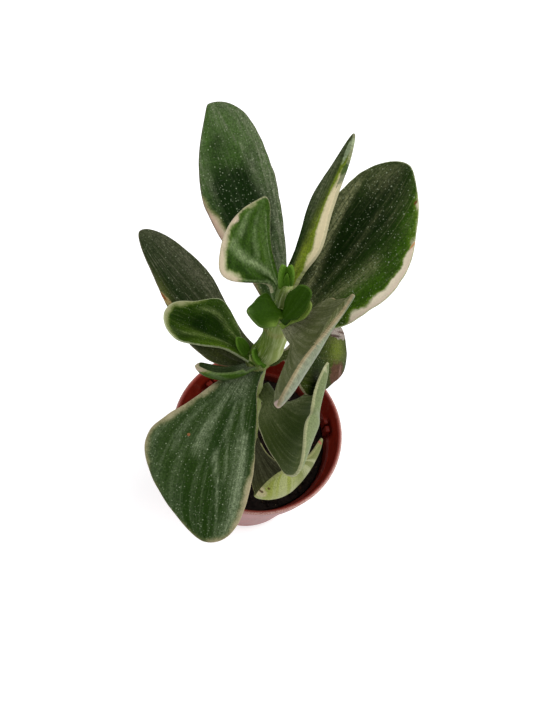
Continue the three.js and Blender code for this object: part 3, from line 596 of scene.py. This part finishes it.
def soft_light(name, place, size, power, colour):
    data = bpy.data.lights.new(name, "AREA")
    data.shape = "DISK"
    data.size = size
    data.energy = power
    data.color = colour
    lamp = bpy.data.objects.new(name, data)
    lamp.location = place
    toward = Vector(LIGHT_TARGET) - Vector(place)
    lamp.rotation_euler = toward.to_track_quat("-Z", "Y").to_euler()
    bpy.context.scene.collection.objects.link(lamp)


def place_lights():
    world = bpy.data.worlds.new("studio")
    world.use_nodes = True
    background = world.node_tree.nodes["Background"]
    background.inputs["Color"].default_value = SKY
    background.inputs["Strength"].default_value = SKY_STRENGTH
    bpy.context.scene.world = world
    bpy.context.scene.view_settings.view_transform = "Standard"
    for name, light in LIGHTS.items():
        soft_light(name, *light)


def place_floor():
    reach = 2500
    below = -0.2
    corners = ((-reach, -reach, below), (reach, -reach, below), (reach, reach, below), (-reach, reach, below))
    floor = mesh_object("floor", corners, [(0, 1, 2, 3)])
    shader = Shader("floor")
    place = shader.node("ShaderNodeTexCoord", {}).outputs["Object"]
    grain = shader.noise(place, 40, 3)
    colour = shader.mix(grain, linear(236, 236, 236), linear(240, 240, 240))
    shader.surface.inputs["Emission Color"].default_value = (1, 1, 1, 1)
    shader.surface.inputs["Emission Strength"].default_value = FLOOR_GLOW
    floor.data.materials.append(shader.finish(colour, 0.9, shader.bump(grain, 0.02, MM)))


# Leaves
def midrib(leaf):
    """Middle point, direction, right side and face along a leaf at equal steps."""
    share = np.linspace(0, 1, MIDRIB_STEPS + 1)
    hooked = leaf.get("hook", 0) * np.maximum(0, (share - HOOK_START) / (1 - HOOK_START)) ** 2
    rise = np.radians(leaf["rise"] + leaf["lift"] * share + hooked)
    facing = np.radians(leaf["facing"] + leaf["swing"] * share)
    roll = np.radians(leaf["roll"] + leaf["twist"] * share)[:, None]
    ahead = np.stack((np.cos(rise) * np.cos(facing), np.cos(rise) * np.sin(facing), np.sin(rise)), 1)
    up = np.stack((-np.sin(rise) * np.cos(facing), -np.sin(rise) * np.sin(facing), np.cos(rise)), 1)
    level = np.cross(ahead, up)
    face = up * np.cos(roll) + level * np.sin(roll)
    side = level * np.cos(roll) - up * np.sin(roll)
    steps = (ahead[:-1] + ahead[1:]) * leaf["length"] / MIDRIB_STEPS / 2
    middle = np.array(leaf["root"], float) + np.concatenate((np.zeros((1, 3)), np.cumsum(steps, 0)))
    return share, middle, ahead, side, face


def along_leaf(leaf, share):
    """The midrib's frame at any shares of the length, and straight on before the root."""
    places, middle, ahead, side, face = midrib(leaf)
    pick = lambda values: np.stack([np.interp(share, places, values[:, k]) for k in range(3)], 1)
    before = np.minimum(share, 0)[:, None] * leaf["length"] * ahead[0]
    return pick(middle) + before, pick(side), pick(face)


def half_width(leaf, side, share):
    """The flat width of one side of a leaf, which rounds off to nothing at the tip."""
    width = smooth_values(KNOTS, (leaf["foot"], *leaf[side]), np.maximum(share, 0))
    past = np.maximum(0, (share - leaf["blunt"]) / (1 - leaf["blunt"]))
    return width * np.sqrt(np.maximum(0, 1 - past * past))


def edge_distance(x, y, outline_x, outline_y):
    """How far each flat point lies from the nearest point of the leaf's outline."""
    nearest = np.full(x.shape, np.inf)
    for edge_x, edge_y in zip(outline_x, outline_y):
        nearest = np.minimum(nearest, (x - edge_x) ** 2 + (y - edge_y) ** 2)
    return np.sqrt(nearest)


def zone_strength(across, share, zones):
    """How strongly each place on a leaf lies in the strongest of its soft zones."""
    strength = np.zeros(np.broadcast(across, share).shape)
    for at_across, at_share, wide, long, most in zones:
        far = ((across - at_across) / wide) ** 2 + ((share - at_share) / long) ** 2
        strength = np.maximum(strength, most * np.exp(-far))
    return strength


def stroke_strength(across, share, strokes):
    """How strongly each place on a leaf lies on the strongest of its bands of bloom and painted sheen."""
    strength = np.zeros(np.broadcast(across, share).shape)
    for path, wide, most in strokes:
        places = [at_share for _, at_share in path]
        middle = np.interp(share, places, [at_across for at_across, _ in path])
        begun = smooth_step(share, places[0] - STROKE_START, places[0])
        left = smooth_step(-share, -places[-1] - STROKE_END, -places[-1])
        strength = np.maximum(strength, most * begun * left * np.exp(-((across - middle) / wide) ** 2))
    return strength


def leaf_blade(name, leaf, look, seed):
    """A closed blade with its fields for the material."""
    length = leaf["length"]
    rows = int(np.clip(length * 3, 36, 110))
    half = int(np.clip(max(*leaf["left"], *leaf["right"]) * 2.2, 12, 30))
    columns = 2 * half
    step = np.arange(rows) / rows
    share = np.concatenate(([-leaf.get("neck", NECK) / length], 1 - (1 - step) ** 2))
    reach_line = np.sin(np.linspace(-math.pi / 2, math.pi / 2, columns + 1))
    upper = np.arange(columns + 1)
    lower = np.arange(columns - 1, 0, -1)
    order = np.concatenate((upper, lower))
    sign = np.concatenate((np.ones(columns + 1), -np.ones(columns - 1)))
    across = np.broadcast_to(reach_line[order], (len(share), 2 * columns))
    sign = np.broadcast_to(sign, across.shape)
    reach = np.abs(across)
    along = share[:, None] * length + 0 * across

    wobble = 1 + 0.012 * ripple(along, 0 * along, seed, 9) + 0.006 * ripple(along, across, seed + 1, 3)
    left_half = half_width(leaf, "left", share)[:, None]
    right_half = half_width(leaf, "right", share)[:, None]
    width = np.where(across < 0, left_half, right_half) * wobble
    flat_x = across * width
    outline_x = np.concatenate((flat_x[:, 0], flat_x[:, columns], [0]))
    outline_y = np.concatenate((along[:, 0], along[:, columns], [length]))
    open_base = outline_y > 0.5
    edge = edge_distance(flat_x, along, outline_x[open_base], outline_y[open_base])

    middle, side, face = along_leaf(leaf, share)
    cup = np.where(across < 0, leaf["cup"][0], leaf["cup"][1])
    curl = np.radians(cup) * reach * np.clip(share / CUP_START, 0, 1)[:, None]
    curl = np.where(np.abs(curl) < 1e-4, 1e-4, curl)
    sideways = np.sign(across) * width * reach * np.sin(curl) / curl
    upward = width * reach * (1 - np.cos(curl)) / curl
    margin = MARGIN_THICKNESS / 2
    rounding = np.sqrt(1 - (1 - np.minimum(edge / margin, 1)) ** 2)
    full = leaf["thickness"] * (1 - THINNING * np.maximum(share, 0))[:, None]
    past = np.maximum(0, (share - leaf["blunt"]) / (1 - leaf["blunt"]))[:, None]
    plump = np.sqrt(np.maximum(0, 1 - reach ** 2)) * np.sqrt(np.maximum(0, 1 - past ** 3))
    thick = margin * rounding + (full - MARGIN_THICKNESS) / 2 * plump
    size = min(1, length / FULL_SIZE)
    sway = SWAY * size * ripple(flat_x, along, seed + 2, 13) * np.clip(share, 0, 1)[:, None]
    inside = smooth_step(edge, 0, 1.5)
    groove = (GROOVE_DEPTH * size * np.exp(-(flat_x / GROOVE_WIDTH) ** 2)
              * smooth_step(0.8 - share, 0, 0.7)[:, None])
    ribs = RIB_HEIGHT * size * ripple(across * 9, 0 * along, seed + 3, 2.2)
    relief = inside * (ribs - groove) * np.where(sign > 0, 1, 0.6)
    offset = upward + sway + sign * (thick + relief)
    points = (middle[:, None, :] + sideways[..., None] * side[:, None, :]
              + offset[..., None] * face[:, None, :])

    blend = smooth_step(across, -0.35, 0.35)
    cream_left = smooth_values(KNOTS, look["cream_left"], np.maximum(share, 0))[:, None]
    cream_right = smooth_values(KNOTS, look["cream_right"], np.maximum(share, 0))[:, None]
    cream = cream_left * (1 - blend) + cream_right * blend - edge
    typical = max(*leaf["left"], *leaf["right"])
    spread = flat_x / (FAN_START + (1 - FAN_START) * np.maximum(share, 0)[:, None])
    vein = look["fan"] * spread + (1 - look["fan"]) * across * typical
    seeds = np.full(across.shape, float(seed))
    fields = {
        "vein": np.stack((vein, along, seeds), 2),
        "flat": np.stack((flat_x, along, seeds), 2),
        "edge": edge, "cream": cream, "face": sign * smooth_step(1.02 - reach, 0, 0.05),
        "shade": zone_strength(across, share[:, None], look["shades"]),
        "glow": zone_strength(across, share[:, None], look["glows"]),
        # the zones and bands of the bloom colour: waxy bloom and painted sheen
        "bloom": np.maximum(zone_strength(across, share[:, None], look["bloom_and_sheen_zones"]),
                            stroke_strength(across, share[:, None], look["strokes"])),
    }

    tip_middle, _, tip_face = along_leaf(leaf, np.array([1.0]))
    root_middle, _, _ = along_leaf(leaf, share[:1])
    count = 2 * columns
    total = len(share)
    tip = total * count
    faces = tube_faces(total, count, tip + 1, tip)
    points = np.concatenate((points.reshape(-1, 3), tip_middle, root_middle))
    for field, values in fields.items():
        shape = (-1, 3) if values.ndim == 3 else (-1,)
        at_tip = values[-1, half]
        at_root = values[0, half]
        fields[field] = np.concatenate((values.reshape(shape), np.array((at_tip, at_root))))
    return mesh_object(name, points, faces, fields)


def mark_mask(shader, flat, leaf, mark):
    """Where a spot or patch lies: an uneven blot about a place on the leaf."""
    across, share = mark["at"]
    width = float(half_width(leaf, "left" if across < 0 else "right", np.array([share]))[0])
    centre = (across * width, share * leaf["length"], 0)
    size = mark["size"]
    wide, long = mark.get("shape", (1, 1))
    offset = shader.vector("SUBTRACT", flat, centre)
    offset = shader.vector("MULTIPLY", offset, (1 / wide, 1 / long, 0))
    far = shader.vector("LENGTH", offset)
    rough = shader.noise(flat, 1.6 / size, 3, 0.6)
    uneven = 1.6 * size * mark.get("ragged", 0.5)
    ragged = shader.math("MULTIPLY_ADD", rough, uneven, -uneven / 2)
    far = shader.math("ADD", far, ragged)
    return shader.remap(far, size * 0.7, size * 1.15, mark.get("strength", 0.9), 0)


def leaf_material(name, leaf, look):
    shader = Shader(name)
    vein = shader.field("vein", "Vector")
    flat = shader.field("flat", "Vector")
    edge = shader.field("edge")
    upper = shader.remap(shader.field("face"), -0.4, 0.4)
    bands = shader.noise(vein, 1 / look["pitch"], 4, 0.6, (1, 0.04, 1))
    lines = shader.noise(vein, 3.6 / look["pitch"], 3, 0.65, (1, 0.05, 1))
    blotch = shader.noise(flat, 0.2, 3, 0.6)
    powder = shader.noise(flat, 1.5, 4, 0.7, (1, 0.7, 1))
    grain = shader.noise(flat, 2.8, 2, 0.6)

    shade = shader.math("ADD", shader.field("shade"), shader.math("MULTIPLY_ADD", blotch, 1.6, -0.7))
    shade = shader.math("MAXIMUM", shade, 0, clamp=True)
    green = shader.mix(shade, linear(*look["mid"]), linear(*look["deep"]))
    uneven = shader.remap(blotch, 0.25, 0.6, 0.6, 1.1)
    glow = shader.math("MULTIPLY", shader.field("glow"), uneven, clamp=True)
    green = shader.mix(glow, green, linear(*look["glow"]))

    # haze is how much of the bloom colour lies over the green: partly waxy bloom, partly painted sheen
    # standing in for the gloss the leaves are not given.
    stripes = shader.math("MULTIPLY", shader.remap(bands, 0.45, 0.6), look["streaks"])
    stripes = shader.math("MULTIPLY", stripes, shader.remap(shader.field("shade"), 0.4, 1.3, 1, 0))
    haze = shader.math("MAXIMUM", stripes, shader.field("bloom"))
    fine_lines = shader.math("MULTIPLY", shader.remap(lines, 0.5, 0.72), look["lines"])
    haze = shader.math("MAXIMUM", haze, fine_lines)
    haze = shader.math("ADD", haze, look["haze"])
    haze = shader.math("MULTIPLY", haze, shader.remap(shader.field("shade"), 0.4, 1.2, 1, 0.3))
    broken = shader.remap(lines, 0.36, 0.58, 1 - 0.6 * look["broken"], 1 + 0.15 * look["broken"])
    haze = shader.math("MULTIPLY", haze, broken)
    haze = shader.math("MULTIPLY", haze, shader.remap(powder, 0.34, 0.66, 0.45, 1.2), clamp=True)
    green = shader.mix(haze, green, linear(*look["bloom"]))
    green = shader.mix(upper, under_colour(shader, look, bands, powder), green)

    lobes = shader.noise(flat, 0.24, 2, 0.5)
    ragged = shader.math("MULTIPLY_ADD", lobes, 2 * look["lobes"], -look["lobes"])
    cream = shader.math("ADD", shader.field("cream"), ragged)
    cream = shader.math("ADD", cream, shader.math("MULTIPLY_ADD", powder, 0.8, -0.4))
    border = shader.remap(cream, -look["border_reach"] - look["soft"], 0, 0, 0.85)
    green = shader.mix(border, green, linear(*look["border"]))
    pale = shader.mix(shader.remap(edge, 0.2, 1.6), linear(*look["blush"]), linear(*look["cream"]))
    creamy = shader.remap(cream, -look["soft"], look["soft"])
    green = shader.mix(creamy, green, pale)

    dot = shader.math("MULTIPLY", leaf_dots(shader, flat), look["dots"])
    green = shader.mix(dot, green, linear(162, 172, 142))

    rim = shader.math("ADD", edge, shader.math("MULTIPLY_ADD", powder, 0.5, -0.25))
    rim = shader.remap(rim, look["rim_width"] * 0.3, look["rim_width"], look["rim_strength"], 0)
    green = shader.mix(rim, green, linear(*look["rim"]))
    for mark in look["marks"]:
        green = shader.mix(mark_mask(shader, flat, leaf, mark), green, linear(*mark["colour"]))

    contrast = shader.remap(creamy, 0, 1, 1.8 * look["grain"], 0.3)
    speckle = shader.math("MULTIPLY_ADD", shader.math("SUBTRACT", grain, 0.5), contrast, 1)
    green = shader.node("ShaderNodeVectorMath", {0: green, "Scale": speckle}, operation="SCALE").outputs[0]
    roughness = shader.math("MULTIPLY_ADD", haze, 0.2, 0.42)
    height = shader.math("MULTIPLY_ADD", grain, 0.5, shader.math("MULTIPLY", lines, 0.6))
    height = shader.math("ADD", height, shader.math("MULTIPLY", dot, 0.5))
    normal = shader.bump(height, 0.4, 0.06 * MM)
    return shader.finish(green, roughness, normal, Specular_IOR_Level=0.03)


def under_colour(shader, look, bands, powder):
    """The colour of the lower face."""
    dim = [value * 0.9 for value in look["under"]]
    under = shader.mix(shader.remap(powder, 0.35, 0.65), linear(*dim), linear(*look["under"]))
    under = shader.mix(shader.field("glow"), under, linear(*look["glow"]))
    # Pale streaks of the bloom colour on the lower face, partly painted sheen.
    streaks = shader.remap(bands, 0.45, 0.65, 0, look["under_streaks"])
    return shader.mix(streaks, under, linear(*look["bloom"]))


def leaf_dots(shader, flat):
    """Small white dots of three sizes, each brighter or fainter than its neighbours."""
    both = None
    for pitch, radius, strength in LEAF_DOTS:
        cell = shader.cells(flat, 1 / pitch)
        lit = shader.remap(shader.parts(cell["Color"])[0], 0.1, 0.8, 0.1, strength)
        dot = shader.remap(cell["Distance"], radius / pitch, 0.35 * radius / pitch)
        dot = shader.math("MULTIPLY", dot, lit)
        both = dot if both is None else shader.math("MAXIMUM", both, dot)
    return both


def grow_leaves():
    for seed, (name, leaf) in enumerate(LEAVES.items(), 11):
        look = {**PLAIN_LOOK, **LOOKS[name]}
        blade = leaf_blade(name + "_blade", leaf, look, seed)
        slot = "young_leaf" if name in YOUNG_LEAVES else "leaf"
        dress(blade, leaf_material(name, leaf, look), slot, name)


def grow_buds():
    look = {**PLAIN_LOOK, **BUD_LOOK}
    material = leaf_material("bud", BUD_SHAPE, look)
    for seed, (name, bud) in enumerate(BUDS.items(), 41):
        widths = tuple(share * bud["wide"] for share in BUD_WIDTHS)
        leaf = {**BUD_SHAPE, **bud, "left": widths, "right": widths}
        dress(leaf_blade(name, leaf, look, seed), material, "young_leaf")


# Stem
def stalk(name, points, sides, step, seed):
    """A tube along a smooth path, with swollen nodes and faint ridges."""
    places = np.array([at for at, _ in points], float)
    spans = np.linalg.norm(np.diff(places, axis=0), axis=1)
    knots = np.concatenate(([0], np.cumsum(spans)))
    rows = int(knots[-1] / step) + 1
    along = np.linspace(0, knots[-1], rows)
    middle = np.stack([smooth_values(knots, places[:, k], along) for k in range(3)], 1)
    radius = smooth_values(knots, [size for _, size in points], along)
    ahead = np.gradient(middle, along, axis=0)
    ahead /= np.linalg.norm(ahead, axis=1)[:, None]
    side = np.cross((0, 1, 0), ahead)
    side /= np.linalg.norm(side, axis=1)[:, None]
    front = np.cross(ahead, side)
    turn = np.arange(sides) * FULL_TURN / sides
    swell = np.zeros(rows)
    for height in STEM_NODES:
        swell += NODE_SWELLING * np.exp(-((middle[:, 2] - height) / NODE_REACH) ** 2)
    ridges = 0.05 * np.sin(turn * 11 + 1) + 0.04 * np.sin(turn * 17)
    bumps = 0.1 * ripple(turn[None, :] * 3, along[:, None], seed, 6)
    size = radius[:, None] + swell[:, None] + ridges[None, :] + bumps
    points3 = (middle[:, None, :] + (size * np.cos(turn))[..., None] * side[:, None, :]
               + (size * np.sin(turn))[..., None] * front[:, None, :])
    ends = np.array([middle[0], middle[-1] + 0.4 * ahead[-1] * radius[-1]])
    tip = rows * sides
    faces = tube_faces(rows, sides, tip, tip + 1)
    around = np.stack((np.cos(turn)[None, :] + 0 * along[:, None], np.sin(turn)[None, :] + 0 * along[:, None],
                       along[:, None] + 0 * turn[None, :]), 2)
    around = np.concatenate((around.reshape(-1, 3), ((0, 0, 0), (0, 0, knots[-1]))))
    height = np.concatenate((points3[..., 2].ravel(), ends[:, 2]))
    swollen = np.concatenate((np.repeat(swell, sides), (0, 0)))
    points3 = np.concatenate((points3.reshape(-1, 3), ends))
    return mesh_object(name, points3, faces, {"around": around, "height": height, "node": swollen})


def stem_material():
    shader = Shader("stem")
    around = shader.field("around", "Vector")
    height = shader.field("height")
    stripes = shader.noise(around, 1, 3, 0.6, (4, 4, 0.09))
    fine = shader.noise(around, 1, 2, 0.6, (11, 11, 0.2))
    grain = shader.noise(around, 1, 3, 0.6, (9, 9, 3))
    # Painted light and shade: the stem's +x side, towards the key light, is coloured paler and the far side
    # darker.
    lit_side = shader.remap(shader.parts(around)[0], -0.7, 0.9)
    base = shader.mix(lit_side, linear(60, 82, 6), linear(136, 150, 76))
    paler = shader.mix(lit_side, linear(86, 108, 20), linear(174, 182, 130))
    green = shader.mix(shader.remap(stripes, 0.4, 0.7), base, paler)
    green = shader.mix(shader.remap(fine, 0.5, 0.7, 0, 0.5), green, linear(172, 182, 132))
    spot = shader.cells(shader.vector("MULTIPLY", around, (3.4, 3.4, 0.9)), 1)
    lenticel = shader.remap(spot["Distance"], 0.16, 0.07, 0, 0.5)
    green = shader.mix(lenticel, green, linear(176, 176, 132))
    node = shader.remap(shader.field("node"), 0.05, 0.2)
    node = shader.math("MULTIPLY", node, shader.remap(grain, 0.35, 0.6))
    green = shader.mix(shader.math("MULTIPLY", node, 0.35), green, linear(132, 106, 62))
    wood = shader.math("MULTIPLY_ADD", stripes, 14, height)
    wood = shader.remap(wood, 62, 48)
    bark = shader.mix(shader.remap(grain, 0.35, 0.65), linear(58, 44, 32), linear(108, 88, 66))
    green = shader.mix(wood, green, bark)
    rough = shader.remap(grain, 0.3, 0.7, 0.42, 0.6)
    relief = shader.math("MULTIPLY_ADD", grain, 0.6, stripes)
    normal = shader.bump(relief, 0.4, 0.2 * MM)
    return shader.finish(green, rough, normal, Specular_IOR_Level=0.2)


def grow_stem():
    material = stem_material()
    dress(stalk("stem_main", STEM, 48, 0.7, 61), material, "stem", "stem")
    for seed, (name, points) in enumerate(STALKS.items(), 62):
        dress(stalk(name, points, 36, 0.4, seed), material, "stem")


# Pot
def pot_radius(z):
    band_foot = POT_HEIGHT - BAND_HEIGHT
    taper = (RIM_RADIUS - LEDGE_STEP - FOOT_RADIUS) / POT_HEIGHT
    return FOOT_RADIUS + taper * z + smooth_step(z, band_foot - LEDGE_DROP, band_foot) * LEDGE_STEP


def lathe(name, profile, sides):
    turn = np.arange(sides) * FULL_TURN / sides
    rows = profile[1:-1]
    points = [(r * math.cos(a), r * math.sin(a), z) for r, z in rows for a in turn]
    low = len(points)
    points += [(0, 0, profile[0][1]), (0, 0, profile[-1][1])]
    return mesh_object(name, points, tube_faces(len(rows), sides, low, low + 1))


def pot_profile():
    ledge = POT_HEIGHT - BAND_HEIGHT
    plain = np.linspace(2 * EDGE_ROUNDING, ledge - LEDGE_DROP - 0.4, 16)
    step = np.linspace(ledge - LEDGE_DROP, ledge, 7)
    band = np.linspace(ledge + 0.4, POT_HEIGHT - WALL / 2, 7)
    levels = np.concatenate((plain, step, band))
    bow = np.linspace(0, math.pi / 2, 6)
    foot = [(FOOT_RADIUS - EDGE_ROUNDING * (1 - math.sin(a)), EDGE_ROUNDING * (1 - math.cos(a))) for a in bow]
    outside = [(float(pot_radius(z)), float(z)) for z in levels]
    middle = float(pot_radius(POT_HEIGHT - WALL / 2)) - WALL / 2
    lip = [(middle + WALL / 2 * math.cos(a), POT_HEIGHT - WALL / 2 + WALL / 2 * math.sin(a))
           for a in np.linspace(0, math.pi, 9)[1:-1]]
    inner = levels[levels > FLOOR + 2 * EDGE_ROUNDING][::-1]
    inside = [(float(pot_radius(z)) - WALL, float(z)) for z in inner]
    corner = FOOT_RADIUS - WALL
    heel = [(corner - EDGE_ROUNDING * (1 - math.cos(a)), FLOOR + EDGE_ROUNDING * (1 - math.sin(a)))
            for a in bow]
    below = [(r, 0) for r in BASE_RINGS]
    above = [(r, FLOOR) for r in reversed(BASE_RINGS)]
    return [(0, 0), *below, *foot, *outside, *lip, *inside, *heel, *above, (0, FLOOR)]


def combine(piece, cutter, operation):
    """Cuts the cutter from the piece or joins it to the piece, for good."""
    tool = piece.modifiers.new(operation, "BOOLEAN")
    tool.operation = operation
    tool.solver = "EXACT"
    tool.object = cutter
    graph = bpy.context.evaluated_depsgraph_get()
    result = bpy.data.meshes.new_from_object(piece.evaluated_get(graph))
    piece.modifiers.clear()
    piece.data = result
    bpy.data.objects.remove(cutter)


def drain_cutters():
    sides = 40
    rows = []
    faces = []
    for i in range(DRAIN_HOLES):
        middle = (i + 0.5) * FULL_TURN / DRAIN_HOLES
        centre = (DRAIN_CIRCLE * math.cos(middle), DRAIN_CIRCLE * math.sin(middle))
        start = len(rows)
        for z in (-FLOOR, 2 * FLOOR):
            for j in range(sides):
                a = j * FULL_TURN / sides
                rows.append((centre[0] + DRAIN_HOLE_RADIUS * math.cos(a),
                             centre[1] + DRAIN_HOLE_RADIUS * math.sin(a), z))
        faces += ring_faces(2, sides, start)
        faces.append(tuple(start + j for j in reversed(range(sides))))
        faces.append(tuple(start + sides + j for j in range(sides)))
    return mesh_object("drain_cutters", rows, faces)


def nub_bars():
    """The rounded upright bars inside the pot's band."""
    out, wide, tall = NUB_SIZE
    deep = out + WALL / 2
    shape = bmesh.new()
    for turn in NUB_TURNS:
        for part in (-0.5, 0.5):
            inner = float(pot_radius(NUB_FOOT)) - WALL - out
            place = Matrix.Translation((inner + deep / 2, 0, NUB_FOOT + tall / 2))
            spin = Matrix.Rotation(math.radians(turn + part * NUB_PAIR_TURN), 4, "Z")
            scale = Matrix.Diagonal((deep, wide, tall, 1))
            made = bmesh.ops.create_cube(shape, size=1, matrix=spin @ place @ scale)
            edges = list({edge for corner in made["verts"] for edge in corner.link_edges})
            bmesh.ops.bevel(shape, geom=edges, offset=0.35, segments=3, affect="EDGES", profile=0.5)
    points = [tuple(corner.co) for corner in shape.verts]
    shape.verts.index_update()
    faces = [tuple(corner.index for corner in side.verts) for side in shape.faces]
    shape.free()
    return mesh_object("nub_bars", points, faces)


def pot_material():
    shader = Shader("pot")
    place = shader.place()
    x, y, z = shader.parts(place)
    radius = shader.vector("LENGTH", shader.vector("MULTIPLY", place, (1, 1, 0)))
    broad = shader.noise(place, 0.09, 3, 0.6)
    dust = shader.noise(place, 0.9, 5, 0.7)
    specks = shader.noise(place, 3.5, 3, 0.6)
    drips = shader.noise(place, 0.5, 3, 0.6, (1, 1, 0.12))
    red = shader.mix(shader.remap(broad, 0.3, 0.7), linear(112, 28, 16), linear(134, 36, 22))
    inner = shader.math("SUBTRACT", radius, shader.math("MULTIPLY_ADD", z, 0.124, FOOT_RADIUS - WALL / 2))
    inside = shader.remap(inner, 0.25, -0.1)
    # Painted shade: the inner wall is mixed half-way towards a darker red for the shade inside the pot.
    red = shader.mix(shader.math("MULTIPLY", inside, 0.5), red, linear(72, 18, 12))
    film = shader.math("MULTIPLY", shader.remap(dust, 0.5, 0.72), shader.remap(drips, 0.4, 0.65))
    red = shader.mix(shader.math("MULTIPLY", film, 0.3), red, linear(170, 130, 116))
    # Low on the inner wall, towards the soil, the red turns speckled dark brown.
    darker_towards_soil = shader.math("MULTIPLY_ADD", dust, 7, z)
    darker_towards_soil = shader.math("MULTIPLY", shader.remap(darker_towards_soil, 50, 45), inside)
    darker_towards_soil = shader.math("MULTIPLY", darker_towards_soil, shader.remap(specks, 0.35, 0.6))
    red = shader.mix(shader.math("MULTIPLY", darker_towards_soil, 0.8), red, linear(40, 24, 18))
    # The top of the lip turns pale in specks, more towards +x where the key light stands: partly wear and
    # partly a painted highlight.
    rim_wear_and_highlight = shader.remap(z, POT_HEIGHT - 1.1, POT_HEIGHT - 0.3)
    rim_wear_and_highlight = shader.math("MULTIPLY", rim_wear_and_highlight, shader.remap(inner, 0.5, 1.3, 0.1, 1))
    rim_wear_and_highlight = shader.math("MULTIPLY", rim_wear_and_highlight, shader.remap(specks, 0.35, 0.6, 0.2, 1))
    rim_wear_and_highlight = shader.math("MULTIPLY", rim_wear_and_highlight, shader.remap(x, -10, 24, 0.5, 1))
    red = shader.mix(rim_wear_and_highlight, red, linear(206, 172, 162))
    rough = shader.remap(film, 0, 1, 0.32, 0.6)
    relief = shader.math("MULTIPLY_ADD", specks, 0.3, dust)
    normal = shader.bump(relief, 0.25, 0.12 * MM)
    return shader.finish(red, rough, normal, Specular_IOR_Level=0.08)


def make_pot():
    pot = lathe("pot_shell", pot_profile(), POT_SIDES)
    combine(pot, nub_bars(), "UNION")
    combine(pot, drain_cutters(), "DIFFERENCE")
    pot.data.polygons.foreach_set("use_smooth", [True] * len(pot.data.polygons))
    pot.data.set_sharp_from_angle(angle=math.radians(40))
    dress(pot, pot_material(), "pot", "pot")


# Soil
def soil_height(share, turn):
    waves = (np.sin(3 * turn + 5 * share) + 0.7 * np.sin(5 * turn - 9 * share + 1)
             + 0.5 * np.cos(8 * turn + 14 * share))
    return SOIL_TOP + SOIL_ROUGHNESS * waves * (0.35 + 0.4 * share)


def soil_rim():
    return float(pot_radius(SOIL_TOP - SOIL_ROUGHNESS)) - WALL - SOIL_GAP


def soil_surface(x, y):
    share = np.hypot(x, y) / soil_rim()
    turn = np.arctan2(y, x)
    rough = 0.45 * ripple(x, y, 71, 3.4) + 0.25 * ripple(x, y, 72, 1.5) + 0.14 * ripple(x, y, 73, 0.8)
    return soil_height(share, turn) + rough


def soil_plug():
    turn = np.arange(SOIL_SIDES) * FULL_TURN / SOIL_SIDES
    rings = [(float(pot_radius(z)) - WALL - SOIL_GAP, z) for z in (FLOOR + SOIL_GAP, 12, 24, 34, 38, 40)]
    points = [(r * math.cos(a), r * math.sin(a), z) for r, z in rings for a in turn]
    for i in range(SOIL_RINGS, 0, -1):
        x = soil_rim() * i / SOIL_RINGS * np.cos(turn)
        y = soil_rim() * i / SOIL_RINGS * np.sin(turn)
        points += list(zip(x, y, soil_surface(x, y)))
    rows = len(rings) + SOIL_RINGS
    top = len(points)
    middle = float(soil_surface(np.array(0.0), np.array(0.0)))
    points += [(0, 0, FLOOR + SOIL_GAP), (0, 0, middle)]
    faces = tube_faces(rows, SOIL_SIDES, top, top + 1)
    tone = np.full(len(points), SOIL_TONE)
    return mesh_object("soil_plug", points, faces, {"tone": tone})


def soil_crumbs():
    """Crumbs, fibres and a little grit that lie on the soil."""
    draw = np.random.default_rng(81)
    shape = bmesh.new()
    bmesh.ops.create_icosphere(shape, subdivisions=2, radius=1)
    ball = np.array([tuple(corner.co) for corner in shape.verts])
    shape.verts.index_update()
    sides = [tuple(corner.index for corner in side.verts) for side in shape.faces]
    shape.free()
    points = []
    faces = []
    tones = []
    for _ in range(CRUMBS):
        far = (soil_rim() - 0.9) * math.sqrt(draw.uniform(0, 1))
        turn = draw.uniform(0, FULL_TURN)
        tone = draw.uniform(0, 1)
        size = draw.uniform(0.22, 0.85) if tone < 0.9 else draw.uniform(0.15, 0.42)
        stretch = np.array((size, size * draw.uniform(0.5, 1), size * draw.uniform(0.4, 0.8)))
        lump_seed = int(draw.integers(1000))
        lumps = 1 + 0.22 * ripple(ball[:, 0] * 3, ball[:, 1] * 3 + ball[:, 2] * 2, lump_seed, 3)
        body = ball * lumps[:, None] * stretch
        spin = np.array(Matrix.Rotation(draw.uniform(0, FULL_TURN), 3, "Z")
                        @ Matrix.Rotation(draw.uniform(-0.6, 0.6), 3, "X"))
        x = far * math.cos(turn)
        y = far * math.sin(turn)
        z = float(soil_surface(np.array(x), np.array(y))) + stretch[2] * 0.35
        start = len(points)
        points += (body @ spin.T + (x, y, z)).tolist()
        faces += [tuple(start + corner for corner in side) for side in sides]
        tones += [tone] * len(ball)
    return mesh_object("soil_crumbs", points, faces, {"tone": tones})


def soil_material():
    shader = Shader("soil")
    place = shader.place()
    tone = shader.field("tone")
    coarse = shader.noise(place, 0.8, 4, 0.65)
    fine = shader.noise(place, 4, 4, 0.7)
    dark = shader.mix(shader.remap(coarse, 0.35, 0.65), linear(12, 7, 5), linear(28, 18, 13))
    dark = shader.mix(shader.remap(fine, 0.55, 0.75, 0, 0.6), dark, linear(60, 42, 32))
    brown = shader.mix(shader.remap(tone, 0.6, 0.9, 0, 0.7), dark, linear(60, 40, 27))
    grit = shader.mix(shader.remap(tone, 0.93, 0.95), brown, linear(150, 132, 108))
    rough = shader.remap(fine, 0.3, 0.7, 0.7, 0.95)
    normal = shader.bump(fine, 0.6, 0.3 * MM)
    return shader.finish(grit, rough, normal, Specular_IOR_Level=0.15)


def make_soil():
    material = soil_material()
    dress(soil_plug(), material, "soil", "soil")
    dress(soil_crumbs(), material, "soil")


place_camera()
place_lights()
place_floor()
make_pot()
make_soil()
grow_stem()
grow_buds()
grow_leaves()
